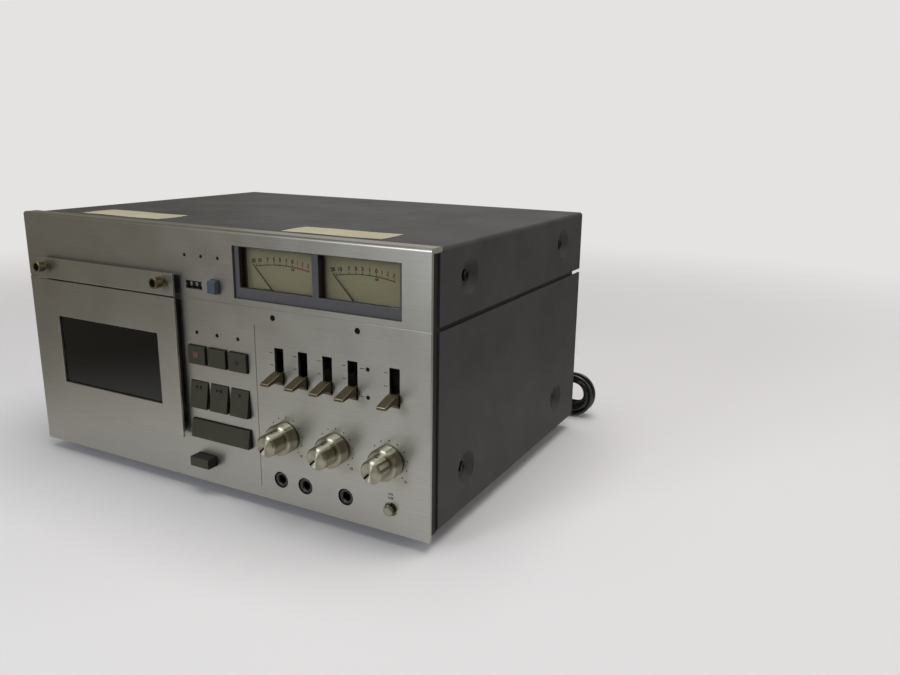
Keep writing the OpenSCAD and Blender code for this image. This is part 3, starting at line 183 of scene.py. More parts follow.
def hank_radius(turn):
    """Radius of the folds: it shrinks through one layer and grows through the next."""
    if turn < 0:
        return HANK_OUT_R - turn * HANK_STEP
    layer, share = divmod(turn / HANK_TURNS, 1)
    width = HANK_TURNS * HANK_STEP
    return HANK_OUT_R - share * width if layer % 2 == 0 else HANK_FOLD_R + share * width


def hank_layer(turn):
    """Layer number: it climbs along the run just before the spiral reverses."""
    if turn < 0:
        return 0
    layer = math.floor(turn / HANK_TURNS)
    climb = (turn - (layer + 1) * HANK_TURNS) * 6 + 1
    if climb > 0 and layer < HANK_LAYERS - 1:
        return layer + climb * climb * (3 - 2 * climb)
    return layer


def hank_point(turn):
    """One point of the hank, in millimetres with its height from the floor."""
    share = turn - math.floor(turn)
    radius = hank_radius(turn)
    half = HANK_RUN / 2
    y = HANK_Y + hank_layer(turn) * HANK_STEP
    if share <= 1 / 3:
        angle = math.radians(FOLD_SWEEP * share - 90)
        return (HANK_X + half + radius * math.cos(angle), y, HANK_H + radius * math.sin(angle))
    if 1 / 2 <= share <= 5 / 6:
        angle = math.radians(FOLD_SWEEP * share - 180)
        return (HANK_X - half + radius * math.cos(angle), y, HANK_H + radius * math.sin(angle))
    top = share < 1 / 2
    along = (share - (1 / 3 if top else 5 / 6)) * 6
    drawn = HANK_WAIST * math.sin(math.pi * along) ** 2
    side = 1 if top else -1
    return (HANK_X + side * (half - along * HANK_RUN), y, HANK_H + side * (radius - drawn))


first_turn = -1 / 6
last_turn = HANK_TURNS * HANK_LAYERS - LEFT_OFF
ring_count = round((last_turn - first_turn) * RINGS_PER_LOOP)
hank_points = [hank_point(first_turn + i / RINGS_PER_LOOP) for i in range(ring_count + 1)]
end_angle = math.radians(FOLD_SWEEP * last_turn)
end_step = CORD_D * Vector((-math.sin(end_angle), 0, math.cos(end_angle)))
hank_points += [tuple(Vector(hank_points[ring_count]) + i * end_step) for i in (1, 2)]
cord_points = [on_floor(*p) for p in lead_points + hank_points + tail_points]
print(len(cord_points), "points on the cord's route")

# %% [markdown]
# The cord has a round PVC sheath. A mesh tube could follow the route too, but a Bezier curve with automatic
# handles runs smoothly through every point, takes its thickness from a bevel and tells its own length.

# %% Mains cord
cord_curve = bpy.data.curves.new("mains_cord_run", "CURVE")
cord_curve.dimensions = "3D"
cord_curve.bevel_depth = 1.0
cord_curve.bevel_resolution = 3
cord_curve.resolution_u = 4
cord_curve.use_fill_caps = True
cord_spline = cord_curve.splines.new("BEZIER")
cord_spline.bezier_points.add(len(cord_points) - 1)
for bezier_point, co in zip(cord_spline.bezier_points, cord_points):
    bezier_point.co = co
    bezier_point.radius = CORD_D / 2 * MM
    bezier_point.handle_left_type = bezier_point.handle_right_type = "AUTO"
cord = new_object("mains_cord_run", cord_curve)
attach(cord, "deck")
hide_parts("mains_cord", "cord_hank")

# %% [markdown]
# Colours are written as sRGB hex values, as a colour picker shows them. Blender's sockets take linear light,
# so one function converts them. Two more set a node's inputs and add a node, so that a tree reads as a list.

# %% Colour values and the node helper
def srgb(code):
    """An sRGB hex colour as linear red, green, blue and alpha."""
    parts = [int(code[i:i + 2], 16) / 255 for i in (1, 3, 5)]
    return tuple(c / 12.92 if c <= 0.04045 else ((c + 0.055) / 1.055) ** 2.4 for c in parts) + (1.0,)


def wire(tree, node, sockets):
    """Sets a node's inputs: a value is written, a socket is linked."""
    for key, value in sockets.items():
        if isinstance(value, bpy.types.NodeSocket):
            tree.links.new(value, node.inputs[key])
        else:
            node.inputs[key].default_value = value


def add(tree, kind, sockets=None, **settings):
    """Adds one shader node of a kind: settings are its properties, sockets its inputs."""
    node = tree.nodes.new("ShaderNode" + kind)
    for name, value in settings.items():
        setattr(node, name, value)
    wire(tree, node, sockets or {})
    return node


def seen_directly(tree):
    """1 for rays from the camera, through a pane or not, 0 for rays that light or mirror something."""
    path = add(tree, "LightPath")
    return add(tree, "Math", {0: path.outputs["Is Camera Ray"], 1: path.outputs["Is Transmission Ray"]},
               operation="MAXIMUM").outputs[0]


print("mid grey #808080 is", round(srgb("#808080")[0], 3), "in linear light")

# %% [markdown]
# The stage is plain: a pale floor in soft studio light. The world could be one even colour, but the rays that
# reach it need three: matt surfaces get an even fill, metal and panes mirror a dim, warm room, and the camera
# sees a pale backdrop on every side.

# %% World
BACKDROP = srgb("#E4E3E1")
FILL = srgb("#D2D3D5")
ROOM = srgb("#79746A")
FILL_STRENGTH = 0.36

world = bpy.data.worlds.new("studio")
bpy.context.scene.world = world
world.use_nodes = True
tree = world.node_tree
tree.nodes.clear()
path = add(tree, "LightPath")
fill = add(tree, "Background", {"Color": FILL, "Strength": FILL_STRENGTH})
room = add(tree, "Background", {"Color": ROOM, "Strength": 1.0})
backdrop = add(tree, "Background", {"Color": BACKDROP, "Strength": 1.0})
unseen = add(tree, "MixShader", {0: path.outputs["Is Glossy Ray"], 1: fill.outputs[0], 2: room.outputs[0]})
mixed = add(tree, "MixShader", {0: seen_directly(tree), 1: unseen.outputs[0], 2: backdrop.outputs[0]})
add(tree, "OutputWorld", {"Surface": mixed.outputs[0]})
print("world fill", FILL_STRENGTH)

# %% [markdown]
# The floor is matt paper. A sweep that curves up behind the deck would serve one view only, so the paper is
# flat and fades with distance: into the backdrop for the camera, and into the room for what mirrors it.

# %% Floor
FLOOR_SIZE = 14.0
SEEN_FADE = (0.55, 1.7)
MIRROR_FADE = (0.25, 0.65)

floor_mesh = bpy.data.meshes.new("floor")
bm = bmesh.new()
bmesh.ops.create_grid(bm, x_segments=1, y_segments=1, size=FLOOR_SIZE / 2)
bm.to_mesh(floor_mesh)
bm.free()
floor = new_object("floor", floor_mesh)
floor_finish = bpy.data.materials.new("matt_paper_sweep")
floor_finish.use_nodes = True
tree = floor_finish.node_tree
paper = tree.nodes["Principled BSDF"]
wire(tree, paper, {"Base Color": srgb("#DAD7D5"), "Roughness": 0.8})
coord = add(tree, "TexCoord")
distance = add(tree, "VectorMath", {0: coord.outputs["Object"]}, operation="LENGTH")
path = add(tree, "LightPath")
surface = paper.outputs[0]
for rays, (fade_start, fade_end), far_colour in (
    (seen_directly(tree), SEEN_FADE, BACKDROP), (path.outputs["Is Glossy Ray"], MIRROR_FADE, ROOM),
):
    fade = add(tree, "MapRange",
               {"Value": distance.outputs["Value"], "From Min": fade_start, "From Max": fade_end},
               interpolation_type="SMOOTHSTEP")
    share = add(tree, "Math", {0: fade.outputs[0], 1: rays}, operation="MULTIPLY")
    far = add(tree, "Emission", {"Color": far_colour, "Strength": 1.0})
    surface = add(tree, "MixShader", {0: share.outputs[0], 1: surface, 2: far.outputs[0]}).outputs[0]
wire(tree, tree.nodes["Material Output"], {"Surface": surface})
floor_mesh.materials.append(floor_finish)
print("floor", FLOOR_SIZE, "m")

# %% [markdown]
# Large square lamps stand in for softboxes, because small ones would leave hard spots on the metal. One hangs
# overhead, one stands at the right, one behind, and one, a little cool, at the front left, which the brushed
# panel shows as a soft bright zone.

# %% Lamps
# Name, place, aim, side in metres, watts and colour of each lamp
lamps = [
    ("softbox_top", (0.3, 0.0, 1.9), (0.05, 0.0, 0.1), 1.5, 28.0, "#FFFFFF"),
    ("softbox_right", (1.7, 0.9, 0.9), (0.2, 0.1, 0.1), 1.2, 8.0, "#FFFFFF"),
    ("softbox_front", (-0.6, -2.0, 0.9), (0.15, -0.15, 0.1), 0.7, 19.0, "#EBF3FF"),
    ("softbox_back", (-0.9, 2.0, 0.65), (-0.05, 0.05, 0.2), 1.6, 3.0, "#FFFFFF"),
]
for lamp_name, lamp_at, lamp_aim, lamp_size, lamp_watts, lamp_tint in lamps:
    lamp_data = bpy.data.lights.new(lamp_name, "AREA")
    lamp_data.shape = "SQUARE"
    lamp_data.size = lamp_size
    lamp_data.energy = lamp_watts
    lamp_data.color = srgb(lamp_tint)[:3]
    lamp = new_object(lamp_name, lamp_data)
    lamp.location = lamp_at
    lamp.rotation_euler = (Vector(lamp_aim) - Vector(lamp_at)).to_track_quat("-Z", "Y").to_euler()
    lamp.visible_camera = False
bpy.context.scene.view_settings.view_transform = "Standard"
print(len(lamps), "lamps")

# %% [markdown]
# Every finish starts from one shader and one coordinate: the object's own, in metres, which stays with the
# piece when it moves. A pattern's scale is then 1000 divided by its real size in millimetres.

# %% Start of a finish
def per(size_mm):
    """Texture scale for a pattern of this size in millimetres."""
    return 1000.0 / size_mm


def new_finish(name):
    """A material with its tree, its shader and the object coordinate."""
    finish = bpy.data.materials.new(name)
    finish.use_nodes = True
    tree = finish.node_tree
    coord = add(tree, "TexCoord")
    return finish, tree, tree.nodes["Principled BSDF"], coord.outputs["Object"]


def blend_colours(tree, factor, low, high):
    """Colour between two others, each a hex value or a socket, by a factor socket."""
    low, high = (srgb(colour) if isinstance(colour, str) else colour for colour in (low, high))
    return add(tree, "Mix", {0: factor, 6: low, 7: high}, data_type="RGBA").outputs[2]


finishes = {}
print("a pattern of 1 mm has a scale of", per(1))

# %% [markdown]
# The panel, the door and the head cover are brushed and anodised aluminium. Brushing leaves long scratches
# along x: it stretches highlights up and down and breaks the tone into fine streaks. The real scratches are
# about 0.1 mm wide, too fine for the render, so they are drawn 0.6 mm wide and 45 mm long. A picture of
# scratches could do this too, but noise that is stretched along x never repeats. Broad clouds of slightly
# darker and duller metal stand for years of handling.

# %% Brushed anodised aluminium
# The brushing runs along x, a little aslant, because a face square to it would have no direction.
BRUSHING = (1.0, 0.02, 0.02)
STREAK = (45, 0.6, 0.6)
PATINA = 35
PATINA_SHARE = 0.22


def brushed_aluminium(name, dark, light):
    finish, tree, shader, coord = new_finish(name)
    grain = add(tree, "Mapping", {"Vector": coord, "Scale": tuple(map(per, STREAK))})
    streaks = add(tree, "TexNoise",
                  {"Vector": grain.outputs[0], "Scale": 1.0, "Detail": 4.0, "Roughness": 0.65})
    clouds = add(tree, "TexNoise", {"Vector": coord, "Scale": per(PATINA), "Detail": 7.0, "Roughness": 0.6})
    tone = add(tree, "Mix",
               {0: PATINA_SHARE, 2: streaks.outputs["Fac"], 3: clouds.outputs["Fac"]}, data_type="FLOAT")
    dull = add(tree, "MapRange",
               {"Value": clouds.outputs["Fac"], "From Min": 0.35, "From Max": 0.7, "To Min": 0.35,
                "To Max": 0.4})
    bump = add(tree, "Bump", {"Height": streaks.outputs["Fac"], "Strength": 0.25, "Distance": 0.03 * MM})
    along = add(tree, "VectorTransform", {0: BRUSHING}, vector_type="VECTOR", convert_from="OBJECT",
                convert_to="WORLD")
    wire(tree, shader, {
        "Base Color": blend_colours(tree, tone.outputs[0], dark, light), "Roughness": dull.outputs[0],
        "Normal": bump.outputs[0], "Tangent": along.outputs[0], "Metallic": 1.0, "Anisotropic": 0.5,
        "Anisotropic Rotation": 0.25,
    })
    return finish


finishes["brushed_aluminium"] = brushed_aluminium("brushed_anodised_aluminium", "#A09E95", "#BEBCB4")
print("streaks of", STREAK[0], "mm, patina of", PATINA, "mm")

# %% [markdown]
# Painted sheet and moulded plastic share one recipe: a fine grain as a small bump, which keeps the gloss
# low and uneven, and large faint clouds that break the flat colour. The covers are a dark grey paint baked
# to such a grain, and what faces up is paler: a thin film of dust and a painted top light. The keys are olive
# ABS whose sides are painted near black as shade, and the levers have a bronze lacquer. Each could have its
# own tree, but one with settings keeps them alike. Grain finer than 0.8 mm doesn't show in the render, so
# none is drawn finer.

# %% Grained paints and plastics
# Colour of the dust and the painted top light on faces that point up
DUST_AND_TOP_LIGHT = "#8A867D"
CLOUD = 50
FACES_UP = 0.5
# Turn of the normal over which a key's sides take their painted shade
SIDE_SHADE_TURN = (-0.7, -0.4)


def grained(name, dark, light, grain_mm, rough, depth_mm=0.06, sheen=0.3, dust_and_top_light=0.0, skirt=None):
    """A paint or plastic, with dust and painted top light on what faces up, and painted shade on what turns
    from the front.
    """
    finish, tree, shader, coord = new_finish(name)
    grain = add(tree, "TexNoise", {"Vector": coord, "Scale": per(grain_mm), "Detail": 2.0})
    clouds = add(tree, "TexNoise", {"Vector": coord, "Scale": per(CLOUD), "Detail": 8.0, "Roughness": 0.7})
    tone = add(tree, "MapRange", {"Value": clouds.outputs["Fac"], "From Min": 0.3, "From Max": 0.7})
    gloss = add(tree, "MapRange",
                {"Value": grain.outputs["Fac"], "To Min": rough - 0.06, "To Max": rough + 0.08})
    bump = add(tree, "Bump", {"Height": grain.outputs["Fac"], "Strength": 0.5, "Distance": depth_mm * MM})
    colour = blend_colours(tree, tone.outputs[0], dark, light)
    if skirt or dust_and_top_light:
        normal = add(tree, "NewGeometry").outputs["Normal"]
        facing = add(tree, "SeparateXYZ", {0: normal})
    # Painted shade: faces that turn away from the front take the skirt colour
    if skirt:
        turned = add(tree, "MapRange",
                     {"Value": facing.outputs["Y"], "From Min": SIDE_SHADE_TURN[0], "From Max": SIDE_SHADE_TURN[1]})
        colour = blend_colours(tree, turned.outputs[0], colour, skirt)
    # Painted top light, with dust: what faces up turns paler in clouds
    if dust_and_top_light:
        lying = add(tree, "MapRange", {"Value": facing.outputs["Z"], "From Min": FACES_UP, "To Max": dust_and_top_light})
        dust_and_top_light_film = add(tree, "Math", {0: lying.outputs[0], 1: tone.outputs[0]}, operation="MULTIPLY")
        colour = blend_colours(tree, dust_and_top_light_film.outputs[0], colour, DUST_AND_TOP_LIGHT)
    wire(tree, shader, {"Base Color": colour, "Roughness": gloss.outputs[0], "Normal": bump.outputs[0],
                        "Specular IOR Level": sheen})
    return finish


# Use, name, dark, light, grain in mm and roughness; then depth in mm, sheen, dust with painted top light, and
# skirt, the painted side shade
for use, *recipe in (
    # Sprayed thick and baked: the grain breaks the sheen, and dust with a painted top light makes the top
    # paler
    ("cover_paint", "baked_grain_paint", "#393837", "#444342", 1.1, 0.52, 0.08, 0.15, 0.07),
    # Sprayed thin and stoved: an even black with a soft sheen
    ("black_paint", "black_stove_enamel", "#161616", "#1D1C1C", 0.9, 0.5),
    # Moulded in etched tools: half matt, with no clear reflection
    ("black_plastic", "black_abs", "#111111", "#181818", 0.8, 0.45),
    # Olive grey keys whose sides are painted near black, as shade in the key holes
    ("key_plastic", "olive_grey_abs", "#302F22", "#383729", 0.8, 0.42, 0.06, 0.3, 0.0, "#12120F"),
    ("reset_plastic", "slate_blue_abs", "#404651", "#4B525D", 0.8, 0.4),
    # Moulded and dull: hardly any highlight
    ("foot_rubber", "moulded_black_foot", "#121212", "#1B1B1A", 0.9, 0.6),
    # Extruded through a smooth die: a clear line of light along each loop
    ("cord_rubber", "black_pvc_sheath", "#111111", "#1A1A1A", 1.5, 0.28, 0.02, 0.8),
    # Paper pressed with resin: dark brown and even
    ("board", "brown_phenolic_board", "#241A12", "#30241A", 2.0, 0.45),
    # Iron sheets dipped in varnish: brown, with a dull shine
    ("core_iron", "varnished_core", "#3B3428", "#4F4636", 1.5, 0.45),
    # Pressed steel with a dull plating: plain grey
    ("motor_paint", "plated_motor_case", "#5A5C5E", "#6B6D70", 2.0, 0.4),
    # Moulded from dark red resin: nearly black while the lamp is off
    ("lamp_plastic", "unlit_lamp", "#100B0B", "#191010", 0.8, 0.3, 0.02, 0.15),
    # Thin metal sprayed matt: a plain dark line over the dial
    ("needle_metal", "needle_black", "#171513", "#1E1B18", 0.8, 0.5),
    # Screened inks dry flat and matt: marks look alike from every side
    ("black_ink", "black_silkscreen_ink", "#101010", "#181817", 0.8, 0.55, 0.01, 0.15),
    ("white_ink", "white_silkscreen_ink", "#8F8D84", "#9D9B92", 0.8, 0.5, 0.01),
    ("red_ink", "dull_red_ink", "#7E3A2A", "#8C4432", 0.8, 0.5, 0.01),
    ("key_red", "red_brown_key_ink", "#5E372F", "#6B4036", 0.8, 0.5, 0.01),
    # Uncoated paper gone yellow: no shine at all
    ("old_paper", "yellowed_paper", "#A0967F", "#B1A791", 1.2, 0.75, 0.03),
    # Moulded polythene: a clear colour with a waxy shine
    ("red_insulator", "red_polythene", "#8E1F1C", "#A02A25", 1.0, 0.35),
    ("white_insulator", "white_polythene", "#C7C3B8", "#D5D2C8", 1.0, 0.35),
    # Bronze lacquer over metal: dark and smooth
    ("lever_metal", "bronze_lacquered_lever", "#3A3120", "#483E2A", 0.8, 0.4, 0.03, 0.35),
):
    finishes[use] = grained(*recipe)
print(len(finishes), "finishes with the paints and plastics")

# %% [markdown]
# Turned metal shows circles round its axis. Their light gathers into two bright wedges on a knob's face. A
# bump of rings would flicker at this size. A tangent that runs round the axis and a strong anisotropy across
# it give the wedges, so each knob pair gets the finish with its own axis. The tool's marks are about 0.2 mm
# apart; here they are rings 0.7 mm wide along the axis, so that they show. Other metals use the same recipe
# with no axis.

# %% Turned and other metals
TOOL_MARKS = (30, 0.7, 30)
KNOBS = (1, 2, 3)


def satin_metal(name, dark, light, rough, axis=None):
    finish, tree, shader, coord = new_finish(name)
    lathe = add(tree, "Mapping", {"Vector": coord, "Scale": tuple(map(per, TOOL_MARKS))})
    rings = add(tree, "TexNoise", {"Vector": lathe.outputs[0], "Scale": 1.0, "Detail": 3.0})
    gloss = add(tree, "MapRange",
                {"Value": rings.outputs["Fac"], "To Min": rough - 0.04, "To Max": rough + 0.06})
    wire(tree, shader, {"Base Color": blend_colours(tree, rings.outputs["Fac"], dark, light),
                        "Roughness": gloss.outputs[0], "Metallic": 1.0})
    if axis:
        arm = add(tree, "VectorMath", {0: coord, 1: axis}, operation="SUBTRACT")
        around = add(tree, "VectorMath", {0: (0, 1, 0), 1: arm.outputs[0]}, operation="CROSS_PRODUCT")
        tangent = add(tree, "VectorTransform", {0: around.outputs[0]}, vector_type="VECTOR",
                      convert_from="OBJECT", convert_to="WORLD")
        wire(tree, shader, {"Tangent": tangent.outputs[0], "Anisotropic": 1.0, "Anisotropic Rotation": 0.25})
    return finish


for number in KNOBS:
    knob_x, knob_z = middle(f"knob_ring_{number}")
    finishes[f"turned_knob_{number}"] = satin_metal(
        f"turned_aluminium_knob_{number}", "#8E8B78", "#BDBAA7", 0.31, tuple(place(knob_x, 0, knob_z)))
# Use, name, dark, light and roughness
for use, *recipe in (
    # Turned and left bare: bright, with short highlights
    ("turned_aluminium", "turned_aluminium", "#8E8B7D", "#B3B0A2", 0.24),
    # Plated nickel painted dark, as shade in the jack bores: only edges shine
    ("jack_metal", "nickel_painted_dark_as_bore_shade", "#2E2E2C", "#3E3E3B", 0.4),
    # Turned brass left to age: brownish, with dim highlights
    ("screw_brass", "aged_brass", "#675F49", "#8B826A", 0.34),
    # Lacquer rubbed through by fingers, and painted lighter as a highlight: a thin bright line along the
    # edges
    ("worn_edge_and_highlight", "worn_lever_edge_and_painted_highlight", "#8F846C", "#A79C84", 0.32),
    # Plated bright: clear highlights
    ("socket_metal", "nickel_plate", "#9E9D99", "#B9B8B4", 0.25),
    # Plated dark: a rim shows as a fine line
    ("dark_nickel", "dark_nickel_plate", "#3F3F3C", "#565652", 0.32),
    # Rolled sheet and ground shafts: an even satin grey
    ("deck_steel", "satin_steel", "#9A9A97", "#B5B5B2", 0.35),
    # Blackened in oil: dark, with a faint shine
    ("black_steel", "blackened_steel", "#262524", "#3A3937", 0.4),
):
    finishes[use] = satin_metal(*recipe)
print(len(finishes), "finishes with the metals")

# %% [markdown]
# The bezel is grey ABS. Its walls deep inside the windows are painted dark brown as shade. Two
# materials would need a cut in the mesh; a test of the depth colours one solid.

# %% Bezel with painted shade in its windows
def two_tone_abs(name, outside, recess_shade, depth_mm):
    finish, tree, shader, coord = new_finish(name)
    split = add(tree, "SeparateXYZ", {0: coord})
    # Painted shade: behind this depth the walls take the dark colour
    in_recess = add(tree, "Math", {0: split.outputs["Y"], 1: panel_low.y + depth_mm * MM},
               operation="GREATER_THAN")
    grain = add(tree, "TexNoise", {"Vector": coord, "Scale": per(0.9), "Detail": 2.0})
    gloss = add(tree, "MapRange", {"Value": grain.outputs["Fac"], "To Min": 0.4, "To Max": 0.52})
    bump = add(tree, "Bump", {"Height": grain.outputs["Fac"], "Strength": 0.25, "Distance": 0.05 * MM})
    wire(tree, shader, {"Base Color": blend_colours(tree, in_recess.outputs[0], outside, recess_shade),
                        "Roughness": gloss.outputs[0], "Normal": bump.outputs[0]})
    return finish


BEZEL_SHADE_FROM = 3.0
finishes["bezel_plastic"] = two_tone_abs("grey_abs_with_painted_recess_shade", "#484749", "#241A14", BEZEL_SHADE_FROM)
print("bezel dark from", BEZEL_SHADE_FROM, "mm behind the panel")

# %% [markdown]
# The dials are printed card that has yellowed. The meter panes are clear glass and the door's pane is smoked
# acrylic, which shows what is behind it only faintly. A transparent shader would be quicker, but only true
# transmission dims and mirrors as a pane does. A thin uneven haze on them stands for dust.

# %% Dial card and panes
def dial_card(name, dark, light):
    finish, tree, shader, coord = new_finish(name)
    clouds = add(tree, "TexNoise", {"Vector": coord, "Scale": per(25), "Detail": 3.0})
    fibres = add(tree, "TexNoise", {"Vector": coord, "Scale": per(0.6), "Detail": 2.0})
    bump = add(tree, "Bump", {"Height": fibres.outputs["Fac"], "Strength": 0.1, "Distance": 0.03 * MM})
    wire(tree, shader, {"Base Color": blend_colours(tree, clouds.outputs["Fac"], dark, light),
                        "Normal": bump.outputs[0], "Roughness": 0.7})
    return finish


PANE_IOR = 1.49


def clear_pane(name, tint, rough):
    finish, tree, shader, coord = new_finish(name)
    haze = add(tree, "TexNoise", {"Vector": coord, "Scale": per(30), "Detail": 3.0})
    gloss = add(tree, "MapRange",
                {"Value": haze.outputs["Fac"], "From Min": 0.4, "From Max": 0.7, "To Min": rough,
                 "To Max": rough + 0.06})
    wire(tree, shader, {"Roughness": gloss.outputs[0], "Base Color": srgb(tint),
                        "Transmission Weight": 1.0, "IOR": PANE_IOR})
    return finish


finishes["dial_card"] = dial_card("yellowed_dial_card", "#9A9174", "#A9A081")
finishes["meter_glass"] = clear_pane("meter_glass", "#F4F6F2", 0.02)
finishes["window_acrylic"] = clear_pane("smoked_acrylic", "#1B1A18", 0.03)
print(len(finishes), "finishes in all")

# %% [markdown]
# Every solid takes the finish of its slot in the record, so that looks and record agree. Finishes could be
# assigned piece by piece, but a loop forgets none. Only the jack sockets differ: they are painted dark, as
# shade in their bores.

# %% Finishes on the CAD nodes
for node_name, node in nodes.items():
    node.data.materials.clear()
    # The jack sockets take a metal painted dark, as shade in their bores
    node.data.materials.append(finishes["jack_metal" if node_name == "jack_sockets" else slots[node_name]])
cord_curve.materials.append(finishes["cord_rubber"])
print(len(finishes), "finishes on", len(nodes), "nodes")

# %% [markdown]
# No made edge is perfectly sharp. The plates, keys, levers and knobs get copies whose edges are rounded by a
# few tenths of a millimetre: the loose triangles are merged, flat areas joined, and every edge sharper than
# 30 degrees is bevelled. A Bevel modifier could do that, but the operator also says which faces it made, so
# worn edges can have a lighter finish of their own, a painted highlight. Weighted normals keep the flat faces
# flat.

# %% Keys with eased edges
WELD = 0.001
FLAT = math.radians(1)
SHARP = math.radians(30)
BEHIND_ALL = 1000.0
KEY_EDGE = 0.45


def new_piece(name, bm, body, finish_name, slot_name):
    """Turns a bmesh into a piece that rides on a body, with a finish; slot_name is not used."""
    mesh = bpy.data.meshes.new(name)
    bm.to_mesh(mesh)
    bm.free()
    piece = new_object(name, mesh)
    mesh.materials.append(finishes[finish_name])
    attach(piece, body)
    return piece


def new_verts(geom):
    """The points in what an operator made or cut."""
    return [item for item in geom if isinstance(item, bmesh.types.BMVert)]


def eased(node_name, edge_mm, steps=2, finish_name=None, carve=None, edge_finish=None, front_of=BEHIND_ALL):
    """A copy of a node with rounded edges, which stands for the node.

    carve shapes it first, edge_finish is for worn edges painted lighter as a highlight, and only edges in
    front of a depth are rounded.
    """
    bm = bmesh.new()
    bm.from_mesh(nodes[node_name].data)
    bmesh.ops.remove_doubles(bm, verts=bm.verts, dist=WELD * MM)
    bmesh.ops.dissolve_limit(bm, angle_limit=FLAT, verts=bm.verts, edges=bm.edges)
    if carve:
        carve(bm)
    limit = place(0, front_of, 0).y
    sharp = [edge for edge in bm.edges if edge.is_manifold and edge.calc_face_angle() > SHARP
             and max(vert.co.y for vert in edge.verts) < limit]
    rounded = bmesh.ops.bevel(bm, geom=sharp, offset=edge_mm * MM, offset_type="OFFSET", segments=steps,
                              profile=0.5, affect="EDGES", clamp_overlap=True, material=-1)["faces"]
    for face in bm.faces:
        face.smooth = True
    # Painted highlight: the rounded faces take a lighter finish, for wear and for the line of light along
    # them
    if edge_finish:
        for face in rounded:
            face.material_index = 1
    piece = new_piece(node_name + "_eased", bm, body_of(nodes[node_name])[0],
                      finish_name or slots[node_name], slots[node_name])
    piece.modifiers.new("flat_faces", "WEIGHTED_NORMAL").keep_sharp = True
    if edge_finish:
        piece.data.materials.append(finishes[edge_finish])
    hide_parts(node_name)
    return piece


key_names = ["record_key", "mute_key", "pause_key", "rewind_key", "forward_key", "play_key", "stop_key"]
for key_name in key_names + ["eject_button", "counter_reset"]:
    eased(key_name, KEY_EDGE, 3)
print(len(key_names), "keys and two buttons eased")

# %% [markdown]
# A lever is a small paddle of lacquered metal. Its underside is drawn in, so that a fingertip finds it, and
# use has worn its edges, which are painted lighter as a highlight too. A Boolean could scoop the hollow out;
# cutting the mesh across at a few depths and lifting the lower points keeps it clean. Only what stands in
# front of the panel gets rounded edges.

# %% Levers
LEVERS = (1, 2, 3, 4, 5)
LEVER_EDGE = 0.55
PADDLE_BACK = -1.9
# Depth of each cut and lift of the underside there
UNDERSIDE = ((-15.0, 1.3), (-10.5, 1.8), (-6.0, 1.3), (-2.0, 0.2))


def hollow_underside(bm):
    """Draws the underside of a lever's paddle in to a shallow arc."""
    for y, lift in UNDERSIDE:
        whole = bm.verts[:] + bm.edges[:] + bm.faces[:]
        cut = bmesh.ops.bisect_plane(bm, geom=whole, plane_co=place(0, y, 0), plane_no=(0, 1, 0))
        verts = new_verts(cut["geom_cut"])
        mean_z = sum(vert.co.z for vert in verts) / len(verts)
        bmesh.ops.translate(bm, vec=(0, 0, lift * MM), verts=[vert for vert in verts if vert.co.z < mean_z])


for number in LEVERS:
    lever = eased(f"lever_{number}", LEVER_EDGE, 3, carve=hollow_underside, edge_finish="worn_edge_and_highlight",
                  front_of=PADDLE_BACK)
print(len(LEVERS), "levers,", len(lever.data.polygons), "faces on the last")

# %% [markdown]
# Knobs are turned, and the door's plate and the head cover are cut from aluminium, so their edges are crisper
# than a moulded key's. They could stay sharp, but would lose the thin line of light at the edge, so they are
# eased in the same way by less. Each knob has the turned finish with its own axis.

# %% Knobs and plates
KNOB_EDGE = 0.25
PLATE_EDGE = 0.35
for number in KNOBS:
    for knob_name in ("knob_ring", "knob_centre"):
        eased(f"{knob_name}_{number}", KNOB_EDGE, 2, f"turned_knob_{number}")
for plate_name in ("door_plate", "head_cover", "meter_bezel"):
    eased(plate_name, PLATE_EDGE)
print(2 * len(KNOBS), "knobs and three plates eased")

# %% [markdown]
# Prints on the panel are silkscreened ink. They could be painted into the panel's finish, but as thin solids
# they stay sharp. Each group of marks is one mesh: bars, dots and triangles come from primitive shapes,
# numbers from Blender's font. A mark is drawn flat, with its face towards +Z, and one matrix then stands
# it up on the panel. Real ink is 0.01 mm thick; here it is 0.04 mm, to stay clear of the surface.

# %% Tools for prints
INK_T = 0.04
INK_OUT = INK_T / 2
CAP_HEIGHT = 0.7
ROUND = 20


def standing(x, y, z, lean=0.0):
    """Stands a flat mark up at a place, facing the front; lean tips its face upwards, in degrees."""
    return Matrix.Translation(place(x, y, z)) @ Matrix.Rotation(math.radians(90 - lean), 4, "X")


def add_bar(bm, at, width, height):
    bmesh.ops.create_cube(bm, size=1, matrix=at @ Matrix.Diagonal((width * MM, height * MM, INK_T * MM, 1)))


def add_dot(bm, at, radius, sides=ROUND):
    bmesh.ops.create_cone(bm, cap_ends=True, segments=sides, radius1=radius * MM, radius2=radius * MM,
                          depth=INK_T * MM, matrix=at)


def add_arrow(bm, at, radius, quarter_turns):
    """A triangle that points right after -1 quarter turn and left after 1."""
    add_dot(bm, at @ Matrix.Rotation(quarter_turns * math.pi / 2, 4, "Z"), radius, 3)


def add_number(bm, at, words, height, bold=0.03):
    """Text as a thin solid, with its middle at the matrix's origin."""
    curve = bpy.data.curves.new("numeral", "FONT")
    curve.body = words
    curve.size = height / CAP_HEIGHT * MM
    curve.extrude = INK_T / 2 * MM
    curve.offset = bold * height * MM
    curve.align_x = curve.align_y = "CENTER"
    text = new_object("numeral", curve)
    bpy.context.view_layer.update()
    mesh = bpy.data.meshes.new_from_object(text.evaluated_get(bpy.context.evaluated_depsgraph_get()))
    mesh.transform(at)
    bm.from_mesh(mesh)
    bpy.data.objects.remove(text)
    bpy.data.curves.remove(curve)
    bpy.data.meshes.remove(mesh)


print("ink stands", INK_T, "mm proud")

